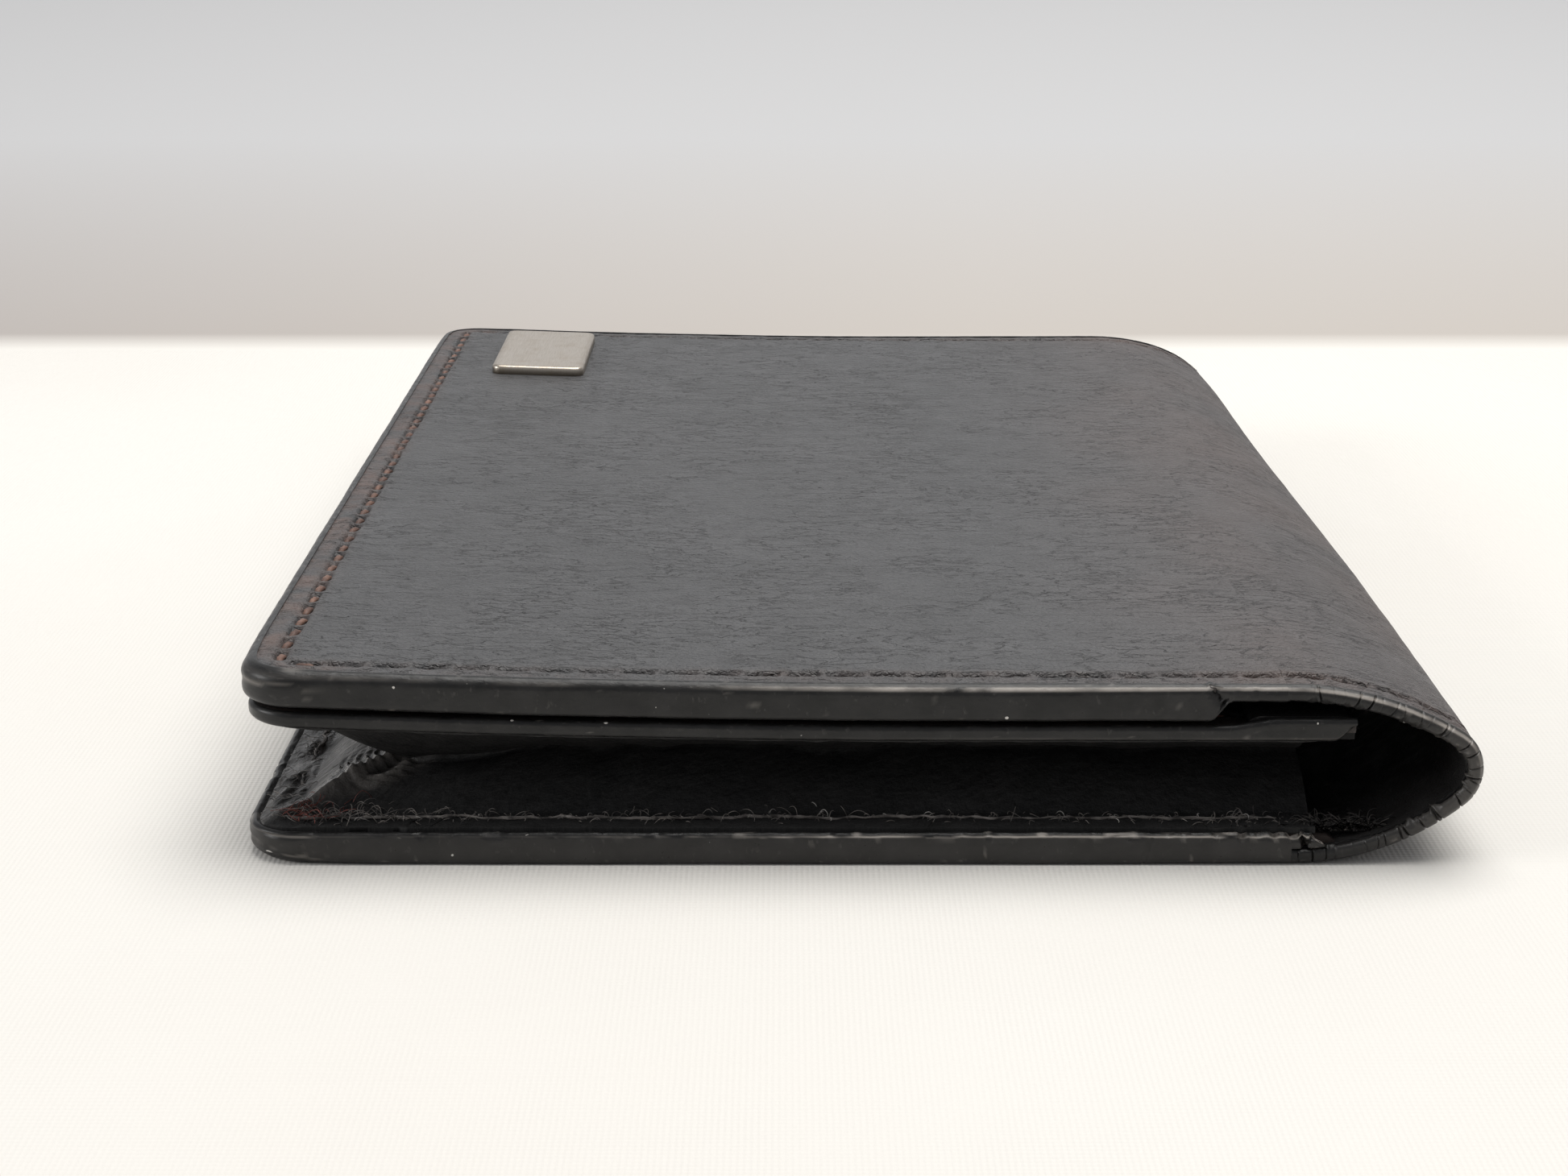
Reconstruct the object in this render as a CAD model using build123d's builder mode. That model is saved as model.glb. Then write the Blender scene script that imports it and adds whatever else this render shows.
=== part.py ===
"""Business card case: a folded leather cover, a gusseted card pocket on its back half and a slot panel inside its flap.

The row frame is in millimetres. X runs across the case, from the free edge to the crown of the spine, Y along
the spine, and Z up. The origin is at the centre of the closed case's footprint, on the surface it rests on.

The cover is one strip of leather in the real case. Here it is cut at three fold lines, so that the flap can open:
the back, the lower and the upper half of the spine, and the flap.
"""

import math
import os

from build123d import *

# ------------------------------------------------------------------ driving dimensions
case_length = 110.0  # along the spine
case_width = 75.0  # from the free edge to the crown of the spine
spine_height = 11.45  # from the underside to the top of the flap, near the spine
bow_radius = 1050.0  # the flap and the pocket front bow up towards the free edge
bow_start = 8.0  # X where that bow begins
corner_radius = 3.5  # of the corners at the free edge

leather = 0.6
lining = 0.45
stiffener = 0.2  # lies in a recess of the lining
stiffener_inset = 5.0
stiffener_gap = 1.0  # from the stiffener to the start of the spine
edge_paint = 0.6  # width of the painted edge, seen from above
pocket_back = 0.7  # panel glued on the cover's lining, behind the cards
gusset = 0.4  # thickness of the gusset's leather
slot_leather = 0.7
slot_lining = 0.55
front_leather = 0.55
front_lining = 0.5
front_setback = 0.3  # the pocket front's outline lies this far inside the cover's
front_clearance = 0.3  # air between the closed flap and the pocket front

# The spine's profile is three tangent arcs: a slack lower one, a tight crown and a slack upper one.
lower_radius = 16.15
crown_radius = 2.9
lower_turn = 40.0  # degrees turned where the lower arc meets the crown
upper_turn = 149.0  # degrees turned where the crown meets the upper arc
fold_gap = 0.1  # air at each fold line, along the profile

stitch_inset = 2.3  # from the outline to the middle of the stitch line
thread_width = 0.4
thread_height = 0.35
groove_width = 0.6
groove_depth = 0.4
proud_thread = 0.25  # how far the inner thread stands out of the surface it lies on

gusset_flange = 3.8  # width of the flat margin that is stitched down
gusset_crease = 3.4  # inset where the leaf leaves the flange
gusset_tip = 8.2  # inset of the inward fold between the two leaves
gusset_end = 27.6  # X where the gusset stops, at the pocket's mouth
gusset_corner = 2.0
gusset_overlap = 0.1  # the upper leaf starts its flange this far below the pocket's ceiling

slot_end = 22.0  # X where the slot panel stops, on its cover side
pocket_back_end = 28.9  # X where the pocket's back panel stops, on its cover side
end_bevel = 1.0  # how much shorter each of those panels is on its open side
pocket_front_end = 29.7  # X of the pocket's mouth
hem_width = 6.2  # the pocket front's turned edge at the mouth
hem_height = 0.45
hem_round = 0.36

badge_width = 8.2
badge_length = 17.0
badge_height = 0.8
badge_from_free_edge = 6.6
badge_from_far_end = 5.0
badge_radius = 0.9
badge_round = 0.25
prong_radius = 0.6
prong_spacing = 10.0
prong_clearance = 0.03
backing_thickness = 0.25
backing_margin = 1.2  # the backing is this much smaller than the badge all round

# ------------------------------------------------------------------ derived sizes
half_length = case_length / 2
free_edge = -case_width / 2
crown = case_width / 2
cover = leather + lining
slot_panel = slot_leather + slot_lining
flap = cover + slot_panel
front_top = flap + front_clearance  # depths below the flap's outer face
front_middle = front_top + front_leather
front_bottom = front_middle + front_lining
back = cover + pocket_back
folds = [lower_turn / 2, (lower_turn + upper_turn) / 2, (upper_turn + 180) / 2]  # the middle of each arc


def sine(angle):
    return math.sin(math.radians(angle))


def cosine(angle):
    return math.cos(math.radians(angle))


height_below_upper_arc = lower_radius * (1 - cosine(lower_turn)) + crown_radius * (
    cosine(lower_turn) - cosine(upper_turn)
)
upper_radius = (spine_height - height_below_upper_arc) / (1 + cosine(upper_turn))
spine_start = crown - crown_radius * (1 - sine(lower_turn)) - lower_radius * sine(lower_turn)


# ------------------------------------------------------------------ the spine's profile, in X and Z
def spine_arc(turn):
    """Returns the centre and the radius of the arc that the profile follows at a turn."""
    x, z, radius = spine_start, lower_radius, lower_radius
    for at, next_radius in ((lower_turn, crown_radius), (upper_turn, upper_radius)):
        if turn > at:
            x += (radius - next_radius) * sine(at)
            z -= (radius - next_radius) * cosine(at)
            radius = next_radius
    return x, z, radius


def spine_point(turn, depth):
    """A point of the profile, at a depth inward from the cover's outer face."""
    x, z, radius = spine_arc(turn)
    return (x + (radius - depth) * sine(turn), z - (radius - depth) * cosine(turn))


def spine_edge(start, end, depth):
    """Draws the profile's arcs from one turn to another, at a depth."""
    breaks = [start] + [t for t in (lower_turn, upper_turn) if start < t < end] + [end]
    for a, b in zip(breaks, breaks[1:]):
        ThreePointArc(spine_point(a, depth), spine_point((a + b) / 2, depth), spine_point(b, depth))


def spine_band(start, end, outer, inner, mode=Mode.ADD):
    """Draws the spine between two turns and two depths, in an open sketch on Plane.XZ."""
    with BuildLine() as band:
        spine_edge(start, end, outer)
        spine_edge(start, end, inner)
        Line(spine_point(start, outer), spine_point(start, inner))
        Line(spine_point(end, outer), spine_point(end, inner))
    make_face(band.edges(), mode=mode)


def turn_across_gap(fold):
    """Half the gap at a fold line, as a turn."""
    return math.degrees(fold_gap / 2 / spine_arc(fold)[2])


# ------------------------------------------------------------------ the two stacks of layers
# The lower stack is flat and measured up from the underside. The upper stack is measured down from the flap's
# outer face, which is level next to the spine and bows up towards the free edge.
upper_start = spine_point(180, 0)[0]


def upper_point(x, depth):
    """A point below the flap's outer face, at an X where the flap bows."""
    reach = bow_start - x
    return (x, spine_height + bow_radius - math.sqrt((bow_radius + depth) ** 2 - reach**2))


def upper_edge(left, right, depth):
    """Draws the upper stack's line at a depth, from one X to another."""
    ThreePointArc(upper_point(left, depth), upper_point((left + bow_start) / 2, depth), upper_point(bow_start, depth))
    Line(upper_point(bow_start, depth), (right, spine_height - depth))


def upper_slab(right, top, bottom):
    """Builds a slab of the upper stack between two depths, as wide as the case."""
    left = free_edge - 1
    with BuildSketch(Plane.XZ) as section:
        with BuildLine() as outline:
            upper_edge(left, right, top)
            upper_edge(left, right, bottom)
            Line(upper_point(left, top), upper_point(left, bottom))
            Line((right, spine_height - top), (right, spine_height - bottom))
        make_face(outline.edges())
    return extrude(section.sketch, amount=half_length, both=True, mode=Mode.PRIVATE)


def case_outline(left, right, inset, radius=None, mode=Mode.ADD):
    """Draws the case's outline from above, with two round corners at the free edge, in an open sketch."""
    corner = max(corner_radius - inset, 0.5) if radius is None else radius
    start = left + inset
    half = half_length - inset
    with BuildLine() as sides:
        Polyline((start + corner, half), (right, half), (right, -half), (start + corner, -half))
        RadiusArc((start + corner, -half), (start, -half + corner), corner)
        Line((start, -half + corner), (start, half - corner))
        RadiusArc((start, half - corner), (start + corner, half), corner)
    make_face(sides.edges(), mode=mode)


def margin(left, right, outer_inset, inner_inset):
    """Draws the strip of the outline between two insets, along three sides and open on the right."""
    case_outline(left, right, outer_inset)
    case_outline(left, right + 1, inner_inset, mode=Mode.SUBTRACT)


def lower_layer(draw, low, high, mode=Mode.ADD):
    """Extrudes what draw() draws, between two heights."""
    with BuildSketch(Plane.XY.offset(low)) as layer:
        draw(free_edge)
    extrude(layer.sketch, amount=high - low, mode=mode)


def upper_layer(draw, top, bottom, mode=Mode.ADD):
    """Fills what draw() draws, between two depths below the flap's outer face."""
    with BuildSketch(Plane.XY) as plan:
        draw(free_edge)
    prism = extrude(plan.sketch, amount=2 * spine_height, mode=Mode.PRIVATE)
    add(prism & upper_slab(crown, top, bottom), mode=mode)


def spine_layer(start, end, outer, inner, half_width=half_length, mode=Mode.ADD):
    """Extrudes a band of the spine along Y."""
    with BuildSketch(Plane.XZ) as band:
        spine_band(start, end, outer, inner)
    extrude(band.sketch, amount=half_width, both=True, mode=mode)


def spine_strips(start, end, outer, inner, inset, width, mode=Mode.ADD):
    """Extrudes two narrow bands of the spine, each centred at an inset from its end."""
    for side in (-1, 1):
        y = side * (half_length - inset)
        with BuildSketch(Plane.XZ.offset(-y - width / 2)) as band:
            spine_band(start, end, outer, inner)
        extrude(band.sketch, amount=width, mode=mode)


def save(builder, name):
    """Labels a finished piece and writes its STEP file."""
    builder.part.label = name
    export_step(builder.part, f"parts/{name}.step")
    print(name, "solids", len(builder.part.solids()), "volume", round(builder.part.volume, 1))


os.makedirs("parts", exist_ok=True)
back_turn = folds[0] - turn_across_gap(folds[0])  # where the back's part of the spine ends
flap_turn = folds[-1] + turn_across_gap(folds[-1])  # where the flap's part begins

# ------------------------------------------------------------------ back: the half that rests on the table
with BuildPart() as back_cover_leather:
    lower_layer(lambda left: case_outline(left, spine_start, edge_paint), 0, leather)
    spine_layer(0, back_turn, 0, leather, half_length - edge_paint)
    groove = (stitch_inset - groove_width / 2, stitch_inset + groove_width / 2)
    lower_layer(lambda left: margin(left, spine_start, *groove), 0, groove_depth, Mode.SUBTRACT)
    spine_strips(0, back_turn, 0, groove_depth, stitch_inset, groove_width, Mode.SUBTRACT)
save(back_cover_leather, "back_cover_leather")

with BuildPart() as back_stiffener:
    lower_layer(lambda left: case_outline(left, spine_start - stiffener_gap, stiffener_inset), leather, leather + stiffener)
save(back_stiffener, "back_stiffener")

with BuildPart() as back_cover_lining:
    lower_layer(lambda left: case_outline(left, spine_start, edge_paint), leather, cover)
    spine_layer(0, back_turn, leather, cover, half_length - edge_paint)
    add(back_stiffener.part, mode=Mode.SUBTRACT)
save(back_cover_lining, "back_cover_lining")


def pocket_back_profile():
    """Draws the back panel's cross section: its end is bevelled and sits on the start of the spine."""
    Polygon(
        (free_edge - 1, cover),
        (pocket_back_end, cover),
        (pocket_back_end - end_bevel, back),
        (free_edge - 1, back),
        align=None,
    )
    spine_band(0, lower_turn, 0, cover, mode=Mode.SUBTRACT)


with BuildPart() as pocket_back_panel:
    with BuildSketch(Plane.XZ):
        pocket_back_profile()
    extrude(amount=half_length, both=True)
    lower_layer(lambda left: case_outline(left, crown, edge_paint), 0, back + 1, Mode.INTERSECT)
save(pocket_back_panel, "pocket_back_panel")

with BuildPart() as back_edge_paint:
    lower_layer(lambda left: case_outline(left, spine_start, 0), 0, cover)
    spine_layer(0, back_turn, 0, cover)
    with BuildSketch(Plane.XZ):
        pocket_back_profile()
    extrude(amount=half_length, both=True)
    lower_layer(lambda left: case_outline(left, gusset_end, 0), cover, back + gusset)
    lower_layer(lambda left: case_outline(left, crown + 1, 0), 0, back + gusset, Mode.INTERSECT)
    lower_layer(lambda left: case_outline(left, crown + 1, edge_paint), 0, back + gusset, Mode.SUBTRACT)
save(back_edge_paint, "back_edge_paint")

thread = (stitch_inset - thread_width / 2, stitch_inset + thread_width / 2)
with BuildPart() as back_needle_thread:
    lower_layer(lambda left: margin(left, spine_start, *thread), groove_depth - thread_height, groove_depth)
    spine_strips(0, back_turn, groove_depth - thread_height, groove_depth, stitch_inset, thread_width)
save(back_needle_thread, "back_needle_thread")

lower_flange_top = back + gusset
with BuildPart() as back_bobbin_thread:
    lower_layer(lambda left: margin(left, gusset_end, *thread), lower_flange_top, lower_flange_top + proud_thread)
save(back_bobbin_thread, "back_bobbin_thread")

# ------------------------------------------------------------------ gusset: two leaves that fold inward
mouth_ceiling = spine_height - front_bottom  # height of the pocket front's underside at the mouth
upper_flange_bottom = mouth_ceiling - gusset
tip_height = (lower_flange_top + upper_flange_bottom) / 2
tip_gap = 0.1  # air between the two leaves
leaf_rise = tip_height - tip_gap / 2 - lower_flange_top
leaf_slope = leaf_rise / (gusset_tip - gusset_crease)
leaf_width = gusset / sine(math.degrees(math.atan(leaf_slope)))  # the leaf's thickness, measured level


def leaf(low, low_inset, high, high_inset):
    """Lofts a sloping sheet along three sides, given its outer face's inset at two heights."""
    for extra, mode in ((0, Mode.ADD), (leaf_width, Mode.SUBTRACT)):
        right = gusset_end + (1 if extra else 0)
        with BuildSketch(Plane.XY.offset(low)) as foot:
            case_outline(free_edge, right, low_inset + extra, gusset_corner)
        with BuildSketch(Plane.XY.offset(high)) as head:
            case_outline(free_edge, right, high_inset + extra, gusset_corner)
        loft([foot.sketch, head.sketch], ruled=True, mode=mode)


with BuildPart() as gusset_lower_leaf:
    leaf(lower_flange_top, gusset_crease, lower_flange_top + leaf_rise, gusset_tip)
    lower_layer(lambda left: margin(left, gusset_end, edge_paint, gusset_flange), back, lower_flange_top)
save(gusset_lower_leaf, "gusset_lower_leaf")

with BuildPart() as gusset_upper_leaf:
    leaf(tip_height + tip_gap / 2, gusset_tip, mouth_ceiling, gusset_crease)
    lower_layer(
        lambda left: margin(left, gusset_end, gusset_crease, gusset_crease + leaf_width),
        mouth_ceiling - gusset_overlap,
        spine_height,
    )
    add(upper_slab(crown, -2, front_bottom), mode=Mode.SUBTRACT)
    upper_layer(
        lambda left: margin(left, gusset_end, front_setback + edge_paint, gusset_flange),
        front_bottom,
        front_bottom + gusset,
    )
save(gusset_upper_leaf, "gusset_upper_leaf")

# ------------------------------------------------------------------ pocket front: the panel over the cards
front_edge = front_setback + edge_paint
front_stitch = front_setback + stitch_inset
front_groove = (front_stitch - groove_width / 2, front_stitch + groove_width / 2)
front_thread = (front_stitch - thread_width / 2, front_stitch + thread_width / 2)

hem_start = pocket_front_end - hem_width
with BuildPart() as pocket_front_leather:
    upper_layer(lambda left: case_outline(left, pocket_front_end, front_edge), front_top, front_middle)
    upper_layer(
        lambda left: margin(left, hem_start, *front_groove),
        front_top,
        front_top + groove_depth,
        Mode.SUBTRACT,
    )
save(pocket_front_leather, "pocket_front_leather")

with BuildPart() as pocket_front_lining:
    upper_layer(lambda left: case_outline(left, pocket_front_end, front_edge), front_middle, front_bottom)
save(pocket_front_lining, "pocket_front_lining")

with BuildPart() as pocket_mouth_hem:
    with BuildSketch(Plane.XY.offset(spine_height - front_top)):
        with Locations((hem_start + hem_width / 2, 0)):
            Rectangle(hem_width, case_length - 2 * front_edge)
    extrude(amount=hem_height)
    fillet(pocket_mouth_hem.faces().sort_by(Axis.Z)[-1].edges().sort_by(Axis.X)[-1], hem_round)
save(pocket_mouth_hem, "pocket_mouth_hem")

with BuildPart() as pocket_front_edge_paint:
    upper_layer(lambda left: margin(left, pocket_front_end, front_setback, front_edge), front_top, front_bottom)
save(pocket_front_edge_paint, "pocket_front_edge_paint")

with BuildPart() as pocket_needle_thread:
    upper_layer(
        lambda left: margin(left, hem_start, *front_thread),
        front_top + groove_depth - thread_height,
        front_top + groove_depth,
    )
save(pocket_needle_thread, "pocket_needle_thread")

with BuildPart() as pocket_bobbin_thread:
    upper_layer(
        lambda left: margin(left, gusset_end, *front_thread),
        front_bottom + gusset,
        front_bottom + gusset + proud_thread,
    )
save(pocket_bobbin_thread, "pocket_bobbin_thread")

# ------------------------------------------------------------------ badge: a plain plate with two prongs
badge_x = free_edge + badge_from_free_edge + badge_width / 2
badge_y = half_length - badge_from_far_end - badge_length / 2


def badge_outline(margin_width):
    """Draws the badge's outline, or a smaller one with the same centre."""
    with Locations((badge_x, badge_y)):
        RectangleRounded(badge_width - 2 * margin_width, badge_length - 2 * margin_width, badge_radius)


def prong_outline(clearance, mode=Mode.ADD):
    """Draws the badge's two prongs, or the holes around them."""
    with Locations((badge_x, badge_y)):
        with GridLocations(0, prong_spacing, 1, 2):
            Circle(prong_radius + clearance, mode=mode)


def backing_outline():
    """Draws the plate behind the flap that the prongs pass through."""
    badge_outline(backing_margin)
    prong_outline(prong_clearance, Mode.SUBTRACT)


with BuildPart() as badge_plate:
    upper_layer(lambda left: badge_outline(0), -badge_height, 0)
    fillet(badge_plate.faces().sort_by(Axis.Z)[-1].edges(), badge_round)
    upper_layer(lambda left: prong_outline(0), 0, cover)
save(badge_plate, "badge_plate")

with BuildPart() as badge_backing:
    upper_layer(lambda left: backing_outline(), cover - backing_thickness, cover)
save(badge_backing, "badge_backing")

# ------------------------------------------------------------------ flap: the half that opens
with BuildPart() as flap_cover_leather:
    upper_layer(lambda left: case_outline(left, upper_start, edge_paint), 0, leather)
    spine_layer(flap_turn, 180, 0, leather, half_length - edge_paint)
    upper_layer(lambda left: margin(left, upper_start, *groove), 0, groove_depth, Mode.SUBTRACT)
    spine_strips(flap_turn, 180, 0, groove_depth, stitch_inset, groove_width, Mode.SUBTRACT)
    upper_layer(lambda left: prong_outline(prong_clearance), 0, leather, Mode.SUBTRACT)
save(flap_cover_leather, "flap_cover_leather")

with BuildPart() as flap_stiffener:
    upper_layer(lambda left: case_outline(left, upper_start - stiffener_gap, stiffener_inset), leather, leather + stiffener)
    upper_layer(lambda left: prong_outline(prong_clearance), leather, leather + stiffener, Mode.SUBTRACT)
save(flap_stiffener, "flap_stiffener")

with BuildPart() as flap_cover_lining:
    upper_layer(lambda left: case_outline(left, upper_start, edge_paint), leather, cover)
    spine_layer(flap_turn, 180, leather, cover, half_length - edge_paint)
    upper_layer(
        lambda left: case_outline(left, upper_start - stiffener_gap, stiffener_inset),
        leather,
        leather + stiffener,
        Mode.SUBTRACT,
    )
    upper_layer(lambda left: badge_outline(backing_margin), cover - backing_thickness, cover, Mode.SUBTRACT)
save(flap_cover_lining, "flap_cover_lining")


def slot_layer(top, bottom, inset):
    """Fills one ply of the slot panel and cuts its bevelled end."""
    upper_layer(lambda left: case_outline(left, slot_end, inset), top, bottom)
    with BuildSketch(Plane.XZ) as bevel:
        Polygon(
            (slot_end, spine_height - cover),
            (slot_end + 1, spine_height - flap),
            (slot_end - end_bevel, spine_height - flap),
            align=None,
        )
    extrude(bevel.sketch, amount=half_length, both=True, mode=Mode.SUBTRACT)


with BuildPart() as slot_panel_lining:
    slot_layer(cover, cover + slot_lining, edge_paint)
save(slot_panel_lining, "slot_panel_lining")

slot_stitch_gap = 1.0  # from the last stitch to the panel's bevelled end
slot_stitch_end = slot_end - end_bevel - slot_stitch_gap
with BuildPart() as slot_panel_leather:
    slot_layer(cover + slot_lining, flap, edge_paint)
    upper_layer(lambda left: margin(left, slot_stitch_end, *groove), flap - groove_depth, flap, Mode.SUBTRACT)
save(slot_panel_leather, "slot_panel_leather")

with BuildPart() as flap_edge_paint:
    slot_layer(cover, flap, 0)
    upper_layer(lambda left: case_outline(left, upper_start, 0), 0, cover)
    spine_layer(flap_turn, 180, 0, cover)
    lower_layer(lambda left: case_outline(left, crown + 1, edge_paint), 0, 2 * spine_height, Mode.SUBTRACT)
save(flap_edge_paint, "flap_edge_paint")

with BuildPart() as flap_needle_thread:
    upper_layer(lambda left: margin(left, upper_start, *thread), groove_depth - thread_height, groove_depth)
    spine_strips(flap_turn, 180, groove_depth - thread_height, groove_depth, stitch_inset, thread_width)
save(flap_needle_thread, "flap_needle_thread")

with BuildPart() as flap_bobbin_thread:
    upper_layer(
        lambda left: margin(left, slot_stitch_end, *thread),
        flap - groove_depth,
        flap - groove_depth + thread_height,
    )
save(flap_bobbin_thread, "flap_bobbin_thread")

# ------------------------------------------------------------------ spine: two halves between the fold lines
for half, fold, next_fold in (("lower", folds[0], folds[1]), ("upper", folds[1], folds[2])):
    start = fold + turn_across_gap(fold)
    end = next_fold - turn_across_gap(next_fold)

    with BuildPart() as spine_leather:
        spine_layer(start, end, 0, leather, half_length - edge_paint)
        spine_strips(start, end, 0, groove_depth, stitch_inset, groove_width, Mode.SUBTRACT)
    save(spine_leather, f"spine_{half}_leather")

    with BuildPart() as spine_lining:
        spine_layer(start, end, leather, cover, half_length - edge_paint)
    save(spine_lining, f"spine_{half}_lining")

    with BuildPart() as spine_edge_paint:
        spine_strips(start, end, 0, cover, edge_paint / 2, edge_paint)
    save(spine_edge_paint, f"spine_{half}_edge_paint")

    with BuildPart() as spine_thread:
        spine_strips(start, end, groove_depth - thread_height, groove_depth, stitch_inset, thread_width)
        spine_strips(start, end, cover, cover + proud_thread, stitch_inset, thread_width)
    save(spine_thread, f"spine_{half}_thread")

# ------------------------------------------------------------------ figures for the record
for fold in folds:
    x, z = spine_point(fold, 0)
    print(f"fold line at turn {fold:.0f}: x {x:.3f} z {z:.3f}")
print(f"spine ends at x {spine_start:.3f} below and {upper_start:.3f} above; pocket ceiling {mouth_ceiling:.3f}")
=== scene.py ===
"""Looks of the business card case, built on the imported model: leather, edges, stitches, gusset and badge.

Sizes are in millimetres until a mesh is made. The cover is described by leaf coordinates: u runs from the
free edge to the spine, v along the spine, and depth inward from the outer face. Round the sewn sides a point
is given by its run along the stitch line, its inset from the outline and its depth.
"""

import itertools
import math

import bmesh
import bpy
import numpy as np
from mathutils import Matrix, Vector


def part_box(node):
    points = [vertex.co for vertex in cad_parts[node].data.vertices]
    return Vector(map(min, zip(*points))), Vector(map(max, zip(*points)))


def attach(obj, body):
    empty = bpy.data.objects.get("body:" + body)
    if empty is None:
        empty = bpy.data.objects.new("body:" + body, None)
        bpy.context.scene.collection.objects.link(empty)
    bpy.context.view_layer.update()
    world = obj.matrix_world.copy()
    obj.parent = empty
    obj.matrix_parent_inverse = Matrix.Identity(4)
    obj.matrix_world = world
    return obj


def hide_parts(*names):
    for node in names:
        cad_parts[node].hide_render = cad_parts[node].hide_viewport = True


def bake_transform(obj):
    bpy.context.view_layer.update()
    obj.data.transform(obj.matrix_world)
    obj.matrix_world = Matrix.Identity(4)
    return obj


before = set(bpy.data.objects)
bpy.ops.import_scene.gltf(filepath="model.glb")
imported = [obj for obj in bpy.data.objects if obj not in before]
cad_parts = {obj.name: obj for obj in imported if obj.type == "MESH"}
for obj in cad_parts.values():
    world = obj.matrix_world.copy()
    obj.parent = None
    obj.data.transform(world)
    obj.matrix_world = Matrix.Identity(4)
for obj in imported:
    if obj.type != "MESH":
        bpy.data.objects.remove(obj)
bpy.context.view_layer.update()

MM = 0.001

# ---- sizes
# the case as a whole
half_length = 55.0
free_edge = -37.5
spine_height = 11.45
corner_radius = 3.5
# the flap is bowed: its outer face is a wide arc from here to the free edge
bow_radius = 1050.0
bow_start = 8.0
# depths of the plies below the cover's outer face
leather = 0.6
board_bottom = 0.8
cover = 1.05
back = 1.75
flap = 2.3
slot_lining = 0.55
gusset = 0.4
# depths of the pocket's front panel below the flap's outer face
front_top = 2.6
front_middle = 3.15
front_bottom = 3.65
front_setback = 0.3
# the spine: three arcs, and the angles at which they meet
lower_radius = 16.15
crown_radius = 2.9
lower_turn = 40.0
upper_turn = 149.0
taper_start = 30.0
# where the plies end towards the spine, as x
slot_end = 22.0
gusset_end = 27.6
pocket_back_end = 28.9
pocket_front_end = 29.7
end_bevel = 1.0
# the turned edge of the pocket's mouth
hem_width = 6.2
hem_height = 0.45
# stitches
stitch_inset = 2.3
leaf_pitch = 2.5
bend_pitch = 2.6
# the gusset's corners
gusset_corner = 2.0
gusset_arc = 12
# inset past which a leaf is open, away from its seam
open_inset = 4.9
# the floor's far edge on the stage, as y
floor_end = 105.5


def sine(angle):
    return np.sin(np.radians(angle))


def cosine(angle):
    return np.cos(np.radians(angle))


turns = np.array([0.0, lower_turn, upper_turn, 180.0])
lower_rise = lower_radius * (1 - cosine(lower_turn))
crown_rise = crown_radius * (cosine(lower_turn) - cosine(upper_turn))
upper_radius = (spine_height - lower_rise - crown_rise) / (1 + cosine(upper_turn))
spine_start = -free_edge - crown_radius * (1 - sine(lower_turn)) - lower_radius * sine(lower_turn)
arc_radii = np.array([lower_radius, crown_radius, upper_radius])
arc_knots = np.concatenate([[0.0], np.cumsum(np.radians(np.diff(turns)) * arc_radii)])
spine_total = arc_knots[3]


# ---- arrays and noise
def stack(*parts):
    """Coordinates, as arrays or numbers, put together as points."""
    return np.stack(np.broadcast_arrays(*parts), -1)


def travelled(line):
    """Distance along a line of points, from its first point to each of them."""
    return np.concatenate([[0.0], np.cumsum(np.linalg.norm(np.diff(line, axis=0), axis=1))])


def noise(points, size, seed=0):
    """Smooth random field between -1 and 1. size is that of its features, one number or one for each axis."""
    q = np.asarray(points, float) / size
    cell = np.floor(q).astype(np.int64)
    f = q - cell
    f = f * f * (3 - 2 * f)
    total = np.zeros(q.shape[:-1])
    primes = (73856093, 19349663, 83492791)
    for corner in itertools.product((0, 1), repeat=q.shape[-1]):
        weight = np.ones(q.shape[:-1])
        mixed = np.full(q.shape[:-1], 1013 * (seed + 1), np.int64)
        for axis, bit in enumerate(corner):
            weight = weight * (f[..., axis] if bit else 1 - f[..., axis])
            mixed = mixed ^ ((cell[..., axis] + bit) * primes[axis])
        mixed = ((mixed ^ (mixed >> 13)) * 1274126177) & 0x7FFFFFFF
        mixed = ((mixed ^ (mixed >> 15)) * 2246822519) & 0x7FFFFFFF
        total += weight * ((mixed >> 7 & 0xFFFF) / 32767.5 - 1)
    return total


def line_noise(values, size, seed=0):
    values = np.asarray(values, float)
    return noise(stack(values, values * 0), size, seed)


def smooth(low, high, x):
    t = np.clip((x - low) / (high - low), 0, 1)
    return t * t * (3 - 2 * t)


def bump(x, centre, width):
    return np.exp(-(((x - centre) / width) ** 2))


# ---- where a leaf or spine point lies
def back_point(u, v, depth):
    return stack(free_edge + u, v, depth)


def flap_point(u, v, depth):
    x = free_edge + np.asarray(u)
    reach = np.maximum(bow_start - x, 0)
    return stack(x, v, spine_height + bow_radius - np.sqrt((bow_radius + depth) ** 2 - reach**2))


def fold_taper(x, v):
    """The fold reaches a little less far out towards its far end."""
    past = np.clip((x - taper_start) / (-free_edge - taper_start), 0, 1)
    return past**2 * (0.9 * smooth(-25.0, 30.0, v) + 0.5 * smooth(42.0, 58.0, v))


def spine_point(run, v, depth):
    """A point at an arc length along the spine's outer face, from the back to the flap."""
    turn = np.interp(run, arc_knots, turns)
    x = np.full(turn.shape, spine_start)
    z = np.full(turn.shape, lower_radius)
    radius = np.full(turn.shape, lower_radius)
    for at, following in ((lower_turn, crown_radius), (upper_turn, upper_radius)):
        past = turn > at
        x = x + past * (radius - following) * sine(at)
        z = z - past * (radius - following) * cosine(at)
        radius = np.where(past, following, radius)
    out = x + (radius - depth) * sine(turn)
    return stack(out - fold_taper(out, v), v, z - (radius - depth) * cosine(turn))


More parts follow.
